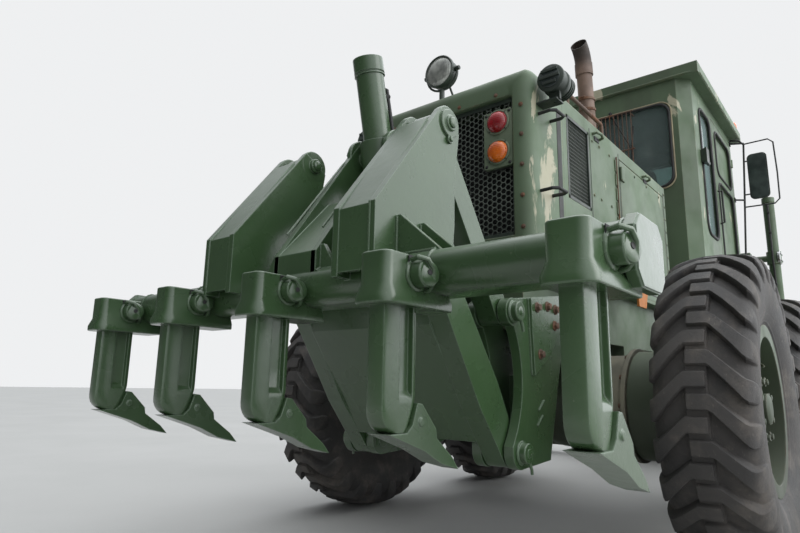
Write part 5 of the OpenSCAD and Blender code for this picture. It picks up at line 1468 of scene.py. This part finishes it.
def make_frame_trim():
    """A ledge and an orange bracket on each side of the rear frame, and the treads of the cab's steps."""
    ledge, orange, treads = Shape(), Shape(), Shape()
    for side in (-1, 1):
        ledge.box((LEDGE_X[0], side * LEDGE_Y[0], LEDGE_Z[0]), (LEDGE_X[1], side * LEDGE_Y[1], LEDGE_Z[1]))
        orange.loft([[(x, side * y, z) for x, z in BRACKET] for y in BRACKET_Y])
        for z in STEPS_Z:
            for k in range(TREADS):
                x = TREAD_X + TREAD_PITCH * k
                treads.box((x, side * STEP_Y - STEP_HALF, z - 0.001),
                           (x + TREAD_WIDE, side * STEP_Y + STEP_HALF, z + 0.005))
    dress("rear_frame", side_ledge=(ledge, "old_paint"), side_bracket=(orange, "orange_paint"))
    dress("front_frame", step_treads=(treads, "rusty_bolt"))


# Camera, light and floor

# The photograph's viewpoint, solved in the machine's axes: place, then yaw, pitch and roll, focal length
VIEWPOINT, VIEW_TURN = (-3.596, -1.554, 0.705), (39.52, 11.51, 1.1)
FOCAL_PX, PHOTO_WIDE, SENSOR = 588.0, 800, 36.0
# Where the open, bright side of the soft light lies, and the strengths away from it and towards it
BRIGHT_SIDE = Vector((0.52, -0.62, 0.6)).normalized()
SKY_DIM, SKY_BRIGHT = 0.08, 1.95
# Panels of light: name, place, size, watts; and the place that they face
PANELS = (("sky_panel", (0.5, -1.5, 9.0), 7.0, 150.0), ("side_panel", (1.5, -8.5, 5.5), 6.0, 250.0))
PANEL_AIM = (-0.5, 0.0, 1.2)


def set_camera():
    """Places the camera at the photograph's viewpoint."""
    yaw, pitch, roll = (radians(a) for a in VIEW_TURN)
    ahead = Vector((cos(pitch) * cos(yaw), cos(pitch) * sin(yaw), sin(pitch)))
    right = ahead.cross(Vector(UP)).normalized()
    up = right.cross(ahead)
    rolled_right = right * cos(roll) + up * sin(roll)
    rolled_up = up * cos(roll) - right * sin(roll)
    data = bpy.data.cameras.new("photo_camera")
    data.sensor_width = SENSOR
    data.lens = FOCAL_PX * SENSOR / PHOTO_WIDE
    data.clip_start = 0.05
    data.clip_end = 200
    camera = bpy.data.objects.new("photo_camera", data)
    bpy.context.scene.collection.objects.link(camera)
    axes = Matrix((rolled_right, rolled_up, -ahead)).transposed().to_4x4()
    camera.matrix_world = Matrix.Translation(at(*VIEWPOINT)) @ axes
    bpy.context.scene.camera = camera


def set_world():
    """A soft surround that is brighter on the machine's right and above, and plain to the camera."""
    t = Tree("studio", "worlds")
    towards = t.add("VectorMath", {"operation": "DOT_PRODUCT"})
    t.put(towards.inputs[0], t.add("TexCoord").outputs["Generated"])
    t.put(towards.inputs[1], BRIGHT_SIDE)
    rise = t.span(towards.outputs["Value"], -0.5, 0.75, SKY_DIM, SKY_BRIGHT)
    path = t.add("LightPath")
    seen = t.math("MAXIMUM", path.outputs["Is Camera Ray"], path.outputs["Is Transmission Ray"])
    lit = t.add("Background", Color=(0.94, 0.97, 1.0, 1), Strength=rise)
    shown = t.add("Background", Color=(0.86, 0.87, 0.88, 1), Strength=1.0)
    t.close(t.blend(seen, lit, shown), "OutputWorld")
    bpy.context.scene.world = t.owner


def set_panels():
    """Two large panels of light, above the machine and on its right."""
    for name, place, size, watts in PANELS:
        data = bpy.data.lights.new(name, "AREA")
        data.size = size
        data.energy = watts
        panel = bpy.data.objects.new(name, data)
        bpy.context.scene.collection.objects.link(panel)
        panel.location = at(*place)
        panel.rotation_euler = (at(*PANEL_AIM) - panel.location).to_track_quat("-Z", "Y").to_euler()


def set_floor():
    t = Tree("floor")
    base = t.mottle((169, 169, 167), (174, 174, 172), 0.8, 6.0)
    material = t.finish(Base_Color=base, Roughness=0.8, Normal=t.bump(t.noise(60.0, 4.0), 0.08, 0.002))
    bpy.ops.mesh.primitive_plane_add(size=120, location=(0, 0, 0))
    floor = bpy.context.object
    floor.name = "floor"
    floor.data.materials.append(material)


set_camera()
set_world()
set_panels()
set_floor()
dress_frame()
make_tyres()
make_wheel_nuts()
make_grille()
make_tail_lamps()
make_canister_lamps()
make_work_lamp()
make_rear_cap()
make_hood_rails()
make_hood_trim()
make_cap_screws()
make_ripper_beam()
make_shanks()
make_mount_plates()
make_ripper_welds()
make_pin_clips()
make_mount_trim()
make_link_welds()
make_ram_trim()
make_window_seals()
make_door_trim()
make_cab_trim()
make_mirrors()
make_beacon()
make_seat()
make_brake_drums()
make_lift_trim()
make_blade_trim()
make_frame_trim()

bpy.context.scene.view_settings.view_transform = "Standard"
